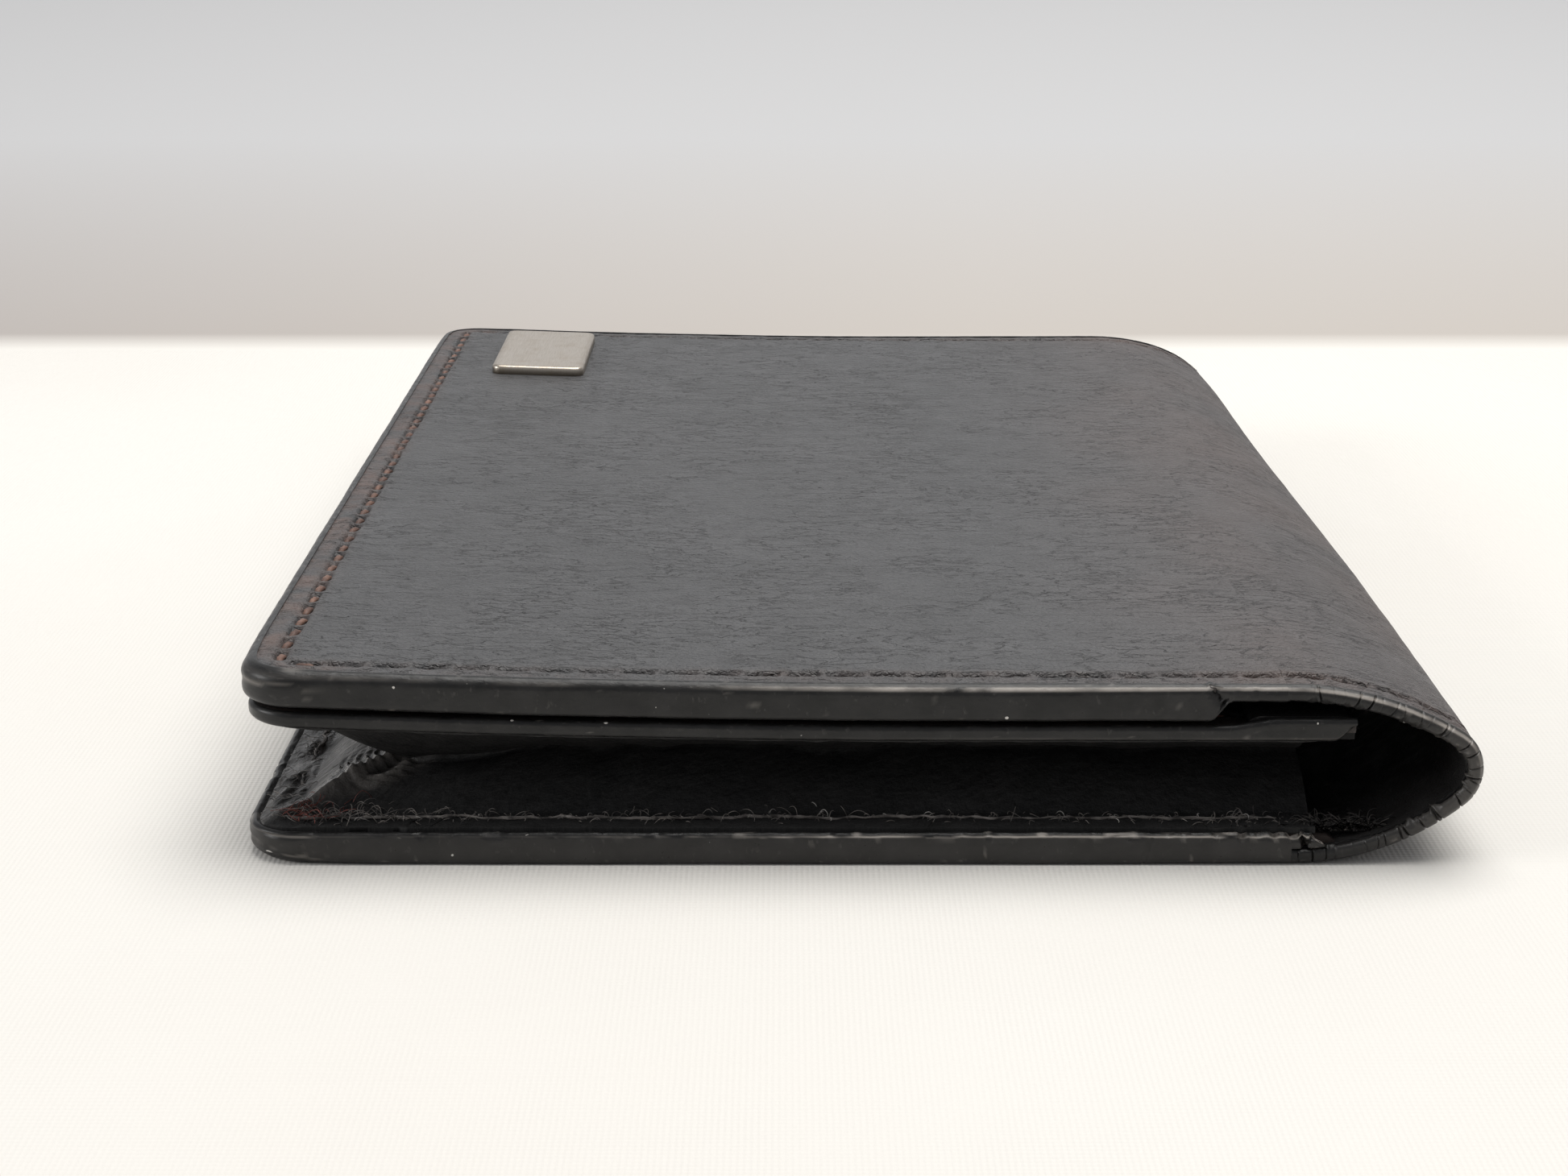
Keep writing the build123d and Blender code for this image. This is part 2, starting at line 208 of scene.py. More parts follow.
back_width = spine_start - free_edge
flap_width = float(spine_point(spine_total, 0.0, 0.0)[0]) - free_edge
tongue_width = pocket_back_end - free_edge
front_width = pocket_front_end - free_edge


# ---- mesh building
def quads(grid):
    """Faces of a grid of vertex numbers."""
    return stack(grid[:-1, :-1], grid[1:, :-1], grid[1:, 1:], grid[:-1, 1:]).reshape(-1, 4).tolist()


def ribbon(a, b):
    """Faces between two lines of vertex numbers."""
    return quads(np.stack([a, b]))


def slab(top, bottom):
    """Closed mesh between two grids of points of the same shape."""
    rows, cols = top.shape[:2]
    upper = np.arange(rows * cols).reshape(rows, cols)
    lower = upper + rows * cols
    faces = quads(upper) + quads(lower)
    for pick in ((0, slice(None)), (-1, slice(None)), (slice(None), 0), (slice(None), -1)):
        faces += ribbon(upper[pick], lower[pick])
    return np.concatenate([top.reshape(-1, 3), bottom.reshape(-1, 3)]), faces


def tube(points):
    """Closed mesh of a row of rings, capped at both ends."""
    rings, around = points.shape[:2]
    grid = np.arange(rings * around).reshape(rings, around)
    caps = [tuple(grid[end].tolist()) for end in (0, -1)]
    return points.reshape(-1, 3), quads(np.concatenate([grid, grid[:, :1]], 1)) + caps


def join(parts):
    """Several (points, faces) as one."""
    points, faces, count = [], [], 0
    for part_points, part_faces in parts:
        points.append(part_points)
        faces += [tuple(i + count for i in face) for face in part_faces]
        count += len(part_points)
    return np.concatenate(points), faces


def add_attribute(data, name, kind, field, values):
    data.attributes.new(name, kind, "POINT").data.foreach_set(field, values.astype(np.float32).ravel())


def make(name, mesh, look, body=None, blend=None, nodes=(), rest=None, wear_and_light=None, sharp=50):
    """Makes one piece. rest is a point in millimetres for the textures, and wear_and_light a number for worn
    colour and for painted light and shade.
    """
    points, faces = mesh
    material, slot = look
    data = bpy.data.meshes.new(name)
    data.from_pydata((points * MM).tolist(), [], faces)
    closed = bmesh.new()
    closed.from_mesh(data)
    bmesh.ops.recalc_face_normals(closed, faces=closed.faces)
    closed.to_mesh(data)
    closed.free()
    data.shade_smooth()
    data.set_sharp_from_angle(angle=math.radians(sharp))
    add_attribute(data, "rest", "FLOAT_VECTOR", "vector", points if rest is None else rest)
    add_attribute(data, "wear_and_light", "FLOAT", "value", np.zeros(len(points)) if wear_and_light is None else wear_and_light)
    data.materials.append(material)
    piece = bpy.data.objects.new(name, data)
    bpy.context.scene.collection.objects.link(piece)
    if blend:
        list(blend)
        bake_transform(piece)
    else:
        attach(piece, body)
    if nodes:
        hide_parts(*nodes)


# ---- materials
class Shader:
    """A material with a Principled shader, and short calls to add nodes to it."""

    def __init__(self, name, **sockets):
        self.material = bpy.data.materials.new(name)
        self.material.use_nodes = True
        self.tree = self.material.node_tree
        self.surface(**sockets)

    def surface(self, **sockets):
        for name, value in sockets.items():
            self.put(self.tree.nodes["Principled BSDF"].inputs[name.replace("_", " ")], value)

    def put(self, socket, value):
        """Links an output to a socket, or sets a constant on it."""
        if isinstance(value, bpy.types.NodeSocket):
            self.tree.links.new(value, socket)
        else:
            socket.default_value = value

    def add(self, kind, inputs, **settings):
        node = self.tree.nodes.new("ShaderNode" + kind)
        for key, value in settings.items():
            setattr(node, key, value)
        for key, value in inputs.items():
            self.put(node.inputs[key], value)
        return node

    def place(self, stretch=(1, 1, 1)):
        """The rest point of the surface, in millimetres, stretched."""
        rest = self.add("Attribute", {}, attribute_name="rest").outputs["Vector"]
        return self.add("Mapping", {"Vector": rest, "Scale": stretch}).outputs["Vector"]

    # The wear_and_light attribute: worn colour, and also painted highlights, reflections and shade.
    def wear_and_light(self):
        return self.add("Attribute", {}, attribute_name="wear_and_light").outputs["Fac"]

    def noise(self, scale, detail, stretch=(1, 1, 1)):
        inputs = {"Vector": self.place(stretch), "Scale": scale, "Detail": detail}
        return self.add("TexNoise", inputs).outputs["Fac"]

    def cells(self, scale, stretch=(1, 1, 1)):
        inputs = {"Vector": self.place(stretch), "Scale": scale}
        return self.add("TexVoronoi", inputs, feature="DISTANCE_TO_EDGE").outputs["Distance"]

    def ridges(self, scale, stretch, **settings):
        inputs = {"Vector": self.place(stretch), "Scale": scale, "Distortion": 0.6, "Detail": 2.0}
        return self.add("TexWave", inputs, **settings).outputs["Fac"]

    def lines(self, scale, width, patch_scale):
        """0 on thin wavy wrinkles that run across the fold, and 1 elsewhere. They gather in patches."""
        level = self.noise(scale, 3.0, (0.35, 1, 1))
        off = self.math("ABSOLUTE", self.math("SUBTRACT", level, 0.5), 0.0)
        bare = self.band(patch_scale, 3.0, 0.40, 0.56, 1.0, 0.0)
        return self.math("MAXIMUM", self.range(off, 0.0, width), bare)

    def range(self, value, low, high, to_low=0.0, to_high=1.0):
        inputs = {"Value": value, "From Min": low, "From Max": high, "To Min": to_low, "To Max": to_high}
        return self.add("MapRange", inputs).outputs["Result"]

    def band(self, scale, detail, low, high, to_low=0.0, to_high=1.0):
        """The part of a noise between two levels."""
        return self.range(self.noise(scale, detail), low, high, to_low, to_high)

    def math(self, operation, a, b):
        return self.add("Math", {0: a, 1: b}, operation=operation).outputs[0]

    def mix(self, factor, a, b):
        node = self.add("Mix", {}, data_type="RGBA")
        sockets = {i.name: i for i in node.inputs if i.enabled}
        for name, value in (("Factor", factor), ("A", a), ("B", b)):
            self.put(sockets[name], (*value, 1) if isinstance(value, tuple) else value)
        return [o for o in node.outputs if o.enabled][0]

    def finish(self, colour, relief=(), **sockets):
        """Feeds the surface. relief has (height, distance in millimetres) for a chain of bump nodes."""
        normal = {}
        for height, distance in relief:
            inputs = {"Height": height, "Distance": distance * MM, "Strength": 1.0, **normal}
            normal = {"Normal": self.add("Bump", inputs).outputs["Normal"]}
        self.surface(Base_Color=colour, **sockets, **normal)
        return self.material


def cover_leather_material():
    s = Shader("cover leather", Specular_IOR_Level=0.5, Sheen_Weight=0.06, Sheen_Roughness=0.5)
    colour = s.mix(s.band(0.08, 4, 0.3, 0.7), (0.025, 0.0255, 0.027), (0.038, 0.038, 0.040))
    colour = s.mix(s.math("MULTIPLY", s.band(0.9, 5, 0.35, 0.75), 0.25), colour, (0.056, 0.055, 0.056))
    # The wear_and_light brown is worn leather along the rim and stitches, and a painted warm reflection along
    # the free edge and towards the spine.
    colour = s.mix(s.wear_and_light(), colour, (0.080, 0.049, 0.039))
    creases = s.range(s.noise(0.85, 5, (0.6, 1.5, 1)), 0.33, 0.43)
    # Painted shade: a little darker along the creases, and much darker along the wrinkles below.
    colour = s.mix(s.range(creases, 0.0, 1.0, 0.08, 0.0), colour, (0.010, 0.009, 0.009))
    wrinkles = s.math("MINIMUM", s.lines(0.55, 0.015, 0.10), s.lines(1.1, 0.022, 0.16))
    colour = s.mix(s.range(wrinkles, 0.0, 1.0, 0.42, 0.0), colour, (0.008, 0.007, 0.007))
    fine = s.noise(2.2, 5, (0.7, 1.5, 1))
    pores = s.range(s.cells(3.2, (0.8, 1.25, 1)), 0.0, 0.2)
    relief = [(creases, 0.045), (wrinkles, 0.13), (fine, 0.17), (pores, 0.03)]
    return s.finish(colour, relief, Roughness=s.band(0.35, 5, 0.25, 0.75, 0.38, 0.52))


def edge_paint_material():
    s = Shader("edge paint", Specular_IOR_Level=0.34)
    colour = s.mix(s.band(0.5, 6, 0.35, 0.7), (0.006, 0.006, 0.006), (0.015, 0.0145, 0.0145))
    scuff = s.range(s.noise(2.6, 6, (1, 1, 0.6)), 0.62, 0.74)
    colour = s.mix(s.math("MULTIPLY", scuff, 0.5), colour, (0.06, 0.056, 0.053))
    # The wear_and_light colour is worn paint, and also painted highlights along the corners and a painted
    # floor reflection on the back's edge.
    colour = s.mix(s.wear_and_light(), colour, (0.42, 0.385, 0.35))
    colour = s.mix(s.band(2.3, 0.0, 0.845, 0.87), colour, (0.55, 0.53, 0.50))
    rough = s.math("SUBTRACT", s.band(1.1, 5, 0.3, 0.7, 0.27, 0.44), s.math("MULTIPLY", s.wear_and_light(), 0.08))
    return s.finish(colour, [(s.noise(0.8, 4), 0.05), (s.noise(4.0, 4), 0.02)], Roughness=rough)


def inner_leather_material():
    s = Shader("inner leather", Specular_IOR_Level=0.4)
    colour = s.mix(s.band(0.25, 5, 0.35, 0.7), (0.007, 0.0065, 0.0065), (0.016, 0.015, 0.0145))
    colour = s.mix(s.wear_and_light(), colour, (0.09, 0.055, 0.042))
    creases = s.range(s.noise(0.6, 5, (0.4, 1.4, 1)), 0.36, 0.5)
    relief = [(creases, 0.03), (s.noise(2.2, 5), 0.04), (s.range(s.cells(3.0), 0.0, 0.22), 0.012)]
    return s.finish(colour, relief, Roughness=s.band(0.8, 4, 0.3, 0.7, 0.46, 0.62))


def pocket_lining_material():
    s = Shader("pocket lining", Specular_IOR_Level=0.25)
    colour = s.mix(s.band(0.3, 5, 0.35, 0.7), (0.004, 0.004, 0.004), (0.010, 0.0095, 0.0095))
    colour = s.mix(s.wear_and_light(), colour, (0.08, 0.05, 0.04))
    weave = s.math("MULTIPLY", s.noise(4.0, 3, (0.5, 2.5, 1)), s.noise(4.0, 3, (2.5, 0.5, 1)))
    relief = [(weave, 0.06), (s.noise(0.9, 4), 0.03)]
    return s.finish(colour, relief, Roughness=s.band(1.5, 4, 0.3, 0.7, 0.62, 0.8))


def gusset_material():
    s = Shader("gusset leather", Specular_IOR_Level=0.5)
    colour = s.mix(s.band(0.6, 5, 0.4, 0.7), (0.005, 0.005, 0.005), (0.011, 0.0105, 0.0105))
    # The wear_and_light grey is painted light: the lit end side, and painted highlights on the ridge and the
    # lip.
    colour = s.mix(s.wear_and_light(), colour, (0.105, 0.098, 0.092))
    rough = s.math("SUBTRACT", s.band(1.6, 5, 0.3, 0.7, 0.60, 0.80), s.math("MULTIPLY", s.wear_and_light(), 0.8))
    return s.finish(colour, [(s.noise(2.0, 5, (1, 1, 0.35)), 0.16), (s.noise(6.0, 4), 0.04)], Roughness=rough)


def board_material():
    s = Shader("board", Specular_IOR_Level=0.2, Roughness=0.85)
    return s.finish(s.mix(s.noise(0.9, 5), (0.20, 0.16, 0.12), (0.32, 0.27, 0.21)), [(s.noise(3.0, 5), 0.05)])


def thread_look(name, dark, light):
    s = Shader(name, Specular_IOR_Level=0.35, Sheen_Weight=0.08, Sheen_Roughness=0.4)
    # Painted shade: the wear_and_light attribute darkens the thread towards near black.
    colour = s.mix(s.wear_and_light(), s.mix(s.band(1.1, 4, 0.35, 0.65), dark, light), (0.008, 0.006, 0.005))
    rough = s.band(4.0, 3, 0.3, 0.7, 0.42, 0.62)
    return s.finish(colour, [(s.noise(9.0, 4), 0.03)], Roughness=rough), "thread"


def metal_material(name, base, stretch, rough):
    s = Shader(name, Metallic=1.0)
    streak = s.noise(2.2, 5, stretch)
    darker = tuple(0.86 * c for c in base)
    tarnished = tuple(c * f for c, f in zip(base, (0.62, 0.54, 0.42)))
    colour = s.mix(s.range(streak, 0.35, 0.7), base, darker)
    colour = s.mix(s.math("MULTIPLY", s.band(0.55, 5, 0.5, 0.75), 0.45), colour, tarnished)
    colour = s.mix(s.wear_and_light(), colour, (0.16, 0.12, 0.075))
    relief = [(streak, 0.008), (s.band(3.5, 6, 0.62, 0.7), 0.006)]
    return s.finish(colour, relief, Roughness=s.range(streak, 0.3, 0.7, rough, rough + 0.14))


def cloth_material():
    s = Shader("white cloth", Specular_IOR_Level=0.1, Roughness=0.9, Sheen_Weight=0.1)
    colour = s.mix(s.band(0.012, 3, 0.3, 0.7), (0.725, 0.70, 0.66), (0.745, 0.727, 0.69))
    across = s.ridges(0.95, (1, 0.35, 1))
    along = s.ridges(0.8, (0.2, 1, 1), bands_direction="Y")
    return s.finish(colour, [(across, 0.014), (along, 0.014), (s.noise(0.03, 3), 1.2)])


def backdrop_material():
    s = Shader("backdrop", Specular_IOR_Level=0.0, Roughness=1.0)
    place = s.add("SeparateXYZ", {"Vector": s.place()}).outputs
    # Painted shade: the backdrop is darker than the floor, darkest low down and to the left, and lighter
    # higher up.
    low = s.mix(s.range(place["X"], -120.0, 20.0), (0.385, 0.355, 0.335), (0.465, 0.43, 0.395))
    colour = s.mix(s.range(place["Y"], floor_end, floor_end + 110.0), low, (0.50, 0.50, 0.505))
    return s.finish(s.mix(s.range(place["Y"], floor_end, floor_end + 9.0), (0.735, 0.715, 0.675), colour))


# a look is a material and a slot name, which make() does not use
cover_skin = (cover_leather_material(), "cover_leather")
paint = (edge_paint_material(), "edge_paint")
inner_skin = (inner_leather_material(), "inner_leather")
pocket_skin = (pocket_lining_material(), "pocket_lining")
gusset_skin = (gusset_material(), "gusset_leather")
board = board_material()
needle_thread = thread_look("needle thread", (0.085, 0.042, 0.031), (0.215, 0.115, 0.082))
bobbin_thread = thread_look("bobbin thread", (0.045, 0.040, 0.037), (0.22, 0.20, 0.185))
badge_metal = (metal_material("satin nickel", (0.53, 0.475, 0.41), (5.0, 0.25, 1), 0.3), "badge_metal")
backing_metal = metal_material("backing metal", (0.55, 0.52, 0.48), (1, 1, 1), 0.38)


# ---- the sewn outline of a leaf
class Outline:
    """Samples along three sides of a leaf: the near side from the spine, the free edge, and the far side."""

    def __init__(self, width, step, left=0.0, half=half_length, radius=corner_radius):
        side = 2 * round((width - left - radius) / step / 2)
        arc = 4 * max(1, round(radius * math.pi / 2 / step / 4))
        end = 2 * round((half - radius) / step)
        near = np.linspace(width, left + radius, side + 1)
        level = np.linspace(-half + radius, half - radius, end + 1)[1:]
        bend = np.linspace(0, math.pi / 2, arc + 1)[1:]
        sin, cos = np.sin(bend), np.cos(bend)
        far_sin, far_cos = sin[-2::-1], cos[-2::-1]
        centre = left + radius
        u = [near, centre - radius * sin, np.full(end, left), centre - radius * far_sin, near[::-1]]
        v = [near * 0 - half, radius - half - radius * cos, level, half - radius + radius * far_cos]
        v += [near * 0 + half]
        normal_u = [near * 0, sin, np.ones(end), far_sin, near * 0]
        normal_v = [near * 0 + 1, cos, np.zeros(end), -far_cos, near * 0 - 1]
        self.foot = stack(np.concatenate(u), np.concatenate(v))
        self.normal = stack(np.concatenate(normal_u), np.concatenate(normal_v))
        self.side, self.arc, self.end = side, arc, end
        self.left, self.half, self.radius, self.width = left, half, radius, width
        self.measure()
        self.length = self.run[-1]
        self.pitch = self.length / round(self.length / leaf_pitch)

    def measure(self):
        self.run = travelled(self.foot + stitch_inset * self.normal)

    def split(self, u, gap=0.01):
        """Adds close samples on both sides of a u, so that a section can change there at once."""
        for offset in (-gap, gap):
            for v in (-self.half, self.half):
                away = np.abs(self.foot[:, 0] - u - offset)
                away[np.abs(self.foot[:, 1] - v) > 1e-6] = np.inf
                i = int(np.argmin(away))
                ahead = (self.foot[i, 0] > u + offset) == (v < 0)
                at = i + 1 if ahead else i
                self.foot = np.insert(self.foot, at, (u + offset, v), 0)
                self.normal = np.insert(self.normal, at, (0.0, -np.sign(v)), 0)
        self.measure()

    def locate(self, run, inset):
        """Leaf coordinates of points at a run and an inset."""
        lines = np.concatenate([self.foot, self.normal], 1).T
        u, v, normal_u, normal_v = (np.interp(run, self.run, line) for line in lines)
        return u + inset * normal_u, v + inset * normal_v


class Plan:
    """A leaf seen from above: rings along the outline, then a coarser grid inside them."""

    offset_limit = 2.8
    inner_inset = 5.0
    corner_space = 0.8
    fade = 15.0

    def __init__(self, outline, insets):
        o = outline
        inner = self.inner_line(o)
        start = o.foot + self.offset_limit * o.normal
        rings = []
        for inset in insets:
            part = (inset - self.offset_limit) / (self.inner_inset - self.offset_limit)
            rings.append(start + part * (inner - start) if part > 0 else o.foot + inset * o.normal)
        samples = len(o.foot)
        corner = o.side + o.arc // 2
        across = inner[: corner + 1 : 2, 0]
        along = inner[corner : samples - corner : 2, 1]
        u, v = np.meshgrid(across, along, indexing="ij")
        ids = np.arange(len(rings) * samples).reshape(len(rings), samples)
        grid = ids.size + np.arange(u.size).reshape(u.shape)
        self.faces = quads(ids) + quads(grid) + self.border_faces(ids[-1], grid)
        self.points = np.concatenate(rings + [stack(u.ravel(), v.ravel())])
        inside = np.minimum(u - o.left, o.half - np.abs(v))
        self.inset = np.concatenate([np.repeat(insets, samples), inside.ravel()])
        self.run = np.concatenate([np.tile(o.run, len(rings)), np.zeros(u.size)])
        self.rim = ids[0]
        self.seam = np.concatenate([ids[:, 0], grid[0], ids[::-1, -1]])

    def border_faces(self, fine, grid):
        """Triangles between the last ring and the grid, which has half as many points along its border."""
        border = np.concatenate([grid[:, 0], grid[-1, 1:], grid[:-1, -1][::-1]])
        a, b, c = fine[0:-2:2], fine[1:-1:2], fine[2::2]
        low, high = border[:-1], border[1:]
        triangles = ((a, b, low), (b, high, low), (b, c, high))
        return [face for corners in triangles for face in stack(*corners).tolist()]

    def inner_line(self, o):
        """The inner rectangle, with one point for each sample of the outline."""
        shift = self.inner_inset + self.corner_space - o.radius
        left, low = o.left + self.inner_inset, -o.half + self.inner_inset
        near = o.foot[: o.side + 1, 0]
        near = near + shift * np.clip(1 - (near - o.left - o.radius) / self.fade, 0, 1) ** 2
        level = o.foot[o.side + o.arc + 1 : o.side + o.arc + o.end + 1, 1]
        gap = o.half - o.radius - np.abs(level)
        level = level - np.sign(level) * shift * np.clip(1 - gap / self.fade, 0, 1) ** 2
        half = o.arc // 2
        leg = np.linspace(0, 1, half + 1)[1:] * self.corner_space
        u = [near, left + self.corner_space - leg, np.full(half + o.end, left)]
        v = [np.full(len(near) + half, low), low + leg, level]
        first = stack(np.concatenate(u), np.concatenate(v))
        mirrored = first[: len(o.foot) - len(first)][::-1] * (1, -1)
        return np.concatenate([first, mirrored])


def zip_lines(a, a_at, b, b_at):
    """Triangles between two lines of vertices that run the same way."""
    faces, i, j = [], 0, 0
    while i < len(a) - 1 or j < len(b) - 1:
        if j == len(b) - 1 or (i < len(a) - 1 and a_at[i + 1] <= b_at[j + 1]):
            faces.append((int(a[i]), int(a[i + 1]), int(b[j])))
            i += 1
        else:
            faces.append((int(a[i]), int(b[j + 1]), int(b[j])))
            j += 1
    return faces


def leaf(outline, place, outer, inner, outer_insets, inner_insets):
    """Closed sheet over a leaf: points, faces, leaf coordinates and insets. outer and inner give depths."""
    a, b = Plan(outline, outer_insets), Plan(outline, inner_insets)
    shift = len(a.points)
    faces = a.faces + [tuple(i + shift for i in face) for face in b.faces]
    faces += ribbon(a.rim, b.rim + shift)
    faces += zip_lines(a.seam, a.points[a.seam, 1], b.seam + shift, b.points[b.seam, 1])
    points = [place(p.points[:, 0], p.points[:, 1], depth(p)) for p, depth in ((a, outer), (b, inner))]
    plan, inset = np.concatenate([a.points, b.points]), np.concatenate([a.inset, b.inset])
    return np.concatenate(points), faces, plan, inset


# ---- relief of sewn leather
def seam_relief(run, pitch, inset, seed, slit=0.44):
    """Depth of the leather round a stitch line: a slit under each stitch, and puckers between stitches."""
    uneven = 1 + 0.3 * line_noise(np.floor(run / pitch) + 0.5, 1.0, seed)
    open_part = smooth(0.04, 0.3, 0.5 - 0.5 * np.cos(2 * np.pi * run / pitch))
    off = inset - stitch_inset + 0.05 * line_noise(run, 3.1, seed + 1)
    narrow = np.exp(-((off / (0.33 + 0.04 * line_noise(run, 1.3, seed + 2))) ** 4))
    shoulder = bump(off, 0.6, 0.3) + 0.8 * bump(off, -0.66, 0.35)
    pucker = np.clip(line_noise(run, 0.75, seed + 3), -0.2, 1)
    depth = slit * uneven * open_part * narrow + 0.10 * bump(off, 0, 1.0)
    depth -= 0.10 * (1 - 0.45 * open_part) * shoulder * uneven
    return depth - 0.07 * pucker * bump(off, 0.45, 0.55) * (1 - open_part * bump(off, 0, 0.3))


def margin_relief(run, inset, seed):
    """Small wrinkles across the margin outside the stitches."""
    points = stack(run, inset)
    wrinkles = 0.035 * noise(points, (0.9, 2.2), seed) + 0.018 * noise(points, (0.45, 1.2), seed + 1)
    return 0.09 * smooth(1.9, 0.5, inset) + smooth(3.4, 1.6, inset) * wrinkles


def field_relief(along, v, seed):
    """Slow waves and soft creases of the open leather."""
    layers = ((0.06, (22.0, 16.0)), (0.018, (6.0, 2.4)), (0.010, (3.0, 1.3)))
    return sum(height * noise(stack(along, v), size, seed + i) for i, (height, size) in enumerate(layers))


def rim_depth(inset, radius):
    """How far the rounded rim lies below the face."""
    gap = np.clip(radius - inset, 0, radius)
    return radius - np.sqrt(np.maximum(radius**2 - gap**2, 0))


fine_insets = [0.32, 0.4, 0.5, 0.62, 0.76, 0.92, 1.1, 1.3, 1.5, 1.68, 1.83, 1.93, 2.02, 2.11, 2.2, 2.3]
fine_insets += [2.4, 2.49, 2.58, 2.68, 2.8, 2.98, 3.2, 3.5, 3.9, 4.35, 4.8]
plain_insets = [0.32, 0.9, 2.3, 4.0, 4.8]
coarse_insets = [0.62, 2.6, 4.4]


def corner_swell(u, v):
    """1 at the leaf's two free corners, fading along the sides."""
    return bump(np.hypot(u - 1.0, half_length - 1.0 - np.abs(v)), 0, 4.0)


def flap_rim_radius(u, v):
    return 0.72 - 0.12 * smooth(44.0, flap_width, u) + 0.35 * corner_swell(u, v)


def back_rim_radius(u, v):
    return 0.45 + 0.15 * smooth(50.0, back_width, u) + 0.6 * corner_swell(u, v)


spine_rim_radius = 0.6


def cover_wear_and_reflection(inset, v, along):
    """Browned leather along the rim and the stitch line as wear, and a painted warm reflection along the rim
    near the free edge.
    """
    at = stack(along, v)
    wear_and_light = 0.20 * smooth(2.4, 0.7, inset) + 0.30 * bump(inset, stitch_inset, 0.75)
    wear_and_light = wear_and_light + 0.55 * smooth(3.0, 1.4, inset) * smooth(54.0, 62.0, np.abs(along))
    return np.clip(wear_and_light * (0.7 + 0.5 * noise(at, 2.2, 31) + 0.5 * noise(at, 0.7, 32)), 0, 1)


def spine_warm_reflection(v, along):
    """A painted warm reflection: a brown tint that grows towards the spine. along is the distance from the
    spine, and below 0 on it.
    """
    return 0.36 * smooth(17.0, -7.0, along) * (1 + 0.45 * noise(stack(along, v), (6.0, 9.0), 33))


def cover_leaf(side, outline, place, rim_radius, seed, along_sign):
    """The cover's leather on the back or the flap."""

    def outer(p):
        u, v = p.points.T
        depth = rim_depth(p.inset, rim_radius(u, v))
        depth += seam_relief(p.run, outline.pitch, p.inset, seed) * (p.inset < open_inset)
        depth += margin_relief(p.run, p.inset, seed + 5)
        return depth + field_relief((outline.width - u) * along_sign, v, 3) * smooth(0.8, 4.0, p.inset)

    def inner(p):
        return np.full(len(p.points), leather)

    points, faces, plan, inset = leaf(outline, place, outer, inner, fine_insets, plain_insets)
    past, v = outline.width - plan[:, 0], plan[:, 1]
    along = past * along_sign
    # Worn leather along the rim and stitches, with painted warm reflection along the free edge and towards
    # the spine.
    wear_and_light = np.clip(cover_wear_and_reflection(inset, v, along) + spine_warm_reflection(v, past), 0, 1)
    name, nodes = f"{side}_cover_skin", [f"{side}_cover_leather"]
    make(name, (points, faces), cover_skin, side, None, nodes, stack(along, v, points[:, 2]), wear_and_light)


back_outline = Outline(back_width, 0.27)
flap_outline = Outline(flap_width, 0.27)
cover_leaf("flap", flap_outline, flap_point, flap_rim_radius, 11, 1)
cover_leaf("back", back_outline, back_point, back_rim_radius, 21, -1)


# ---- inner plies of the leaves
def plain_leaf(name, outline, place, depths, insets, look, body, node, seed):
    """An inner ply between two depths, given as numbers or as functions of the plan."""
    sides = [d if callable(d) else lambda p, d=d: np.full(len(p.points), d) for d in depths]
    points, faces, plan, inset = leaf(outline, place, *sides, *insets)
    rest = stack(plan[:, 0], plan[:, 1], points[:, 2])
    wear_and_light = np.clip(0.12 * smooth(3.0, 0.6, inset) * (1 + noise(plan, 1.6, seed)), 0, 1)
    make(name, (points, faces), look, body, None, [node], rest, wear_and_light)


def above_board(p):
    """The lining is thinner where the board lies in it."""
    return np.where(p.inset > open_inset, board_bottom, leather)


for side, width, place in (("back", back_width, back_point), ("flap", flap_width, flap_point)):
    plain_leaf(
        f"{side}_inner_leather", Outline(width, 0.9), place, (above_board, cover),
        (coarse_insets, coarse_insets), inner_skin, side, f"{side}_cover_lining", 41,
    )


def spine_inner_face(u):
    """Depth of the cover's inner face, on the back and on the start of the spine."""
    past = np.maximum(u - back_width, 0)
    inner_radius = lower_radius - cover
    return cover + inner_radius - np.sqrt(inner_radius**2 - past**2)


def pocket_back_bottom(p):
    u = p.points[:, 0]
    return spine_inner_face(u) + 0.02 * (u > back_width)


def pocket_back_top(p):
    depth = back - 0.04 * noise(p.points, (5.0, 9.0), 51) - 0.03 * np.abs(noise(p.points, 1.4, 52))
    return depth - 0.45 * smooth(tongue_width - 0.7, tongue_width, p.points[:, 0])


plain_leaf(
    "pocket_back", Outline(tongue_width, 0.6), back_point, (pocket_back_bottom, pocket_back_top),
    (coarse_insets, coarse_insets), pocket_skin, "back", "pocket_back_panel", 42,
)


# ---- painted edges
def edge_section(low_round, high_round, thickness, low_inset, high_inset):
    """Cross sections of a painted edge along a run: rows of (inset, depth), from the outer face round."""
    t = np.linspace(0, 1, 9)
    low = np.arccos(np.clip(1 - low_inset / low_round, -1, 1))[:, None] * t[::-1]
    high = np.arccos(np.clip(1 - high_inset / high_round, -1, 1))[:, None] * t
    low_round, high_round, thickness = (line[:, None] for line in (low_round, high_round, thickness))
    side = low_round + np.array([0.25, 0.5, 0.75]) * (thickness - low_round - high_round)
    inset = [low_round * (1 - np.cos(low)), 0 * side, high_round * (1 - np.cos(high))]
    depth = [low_round * (1 - np.sin(low)), side, thickness - high_round * (1 - np.sin(high))]
    return np.concatenate(inset, 1), np.concatenate(depth, 1)


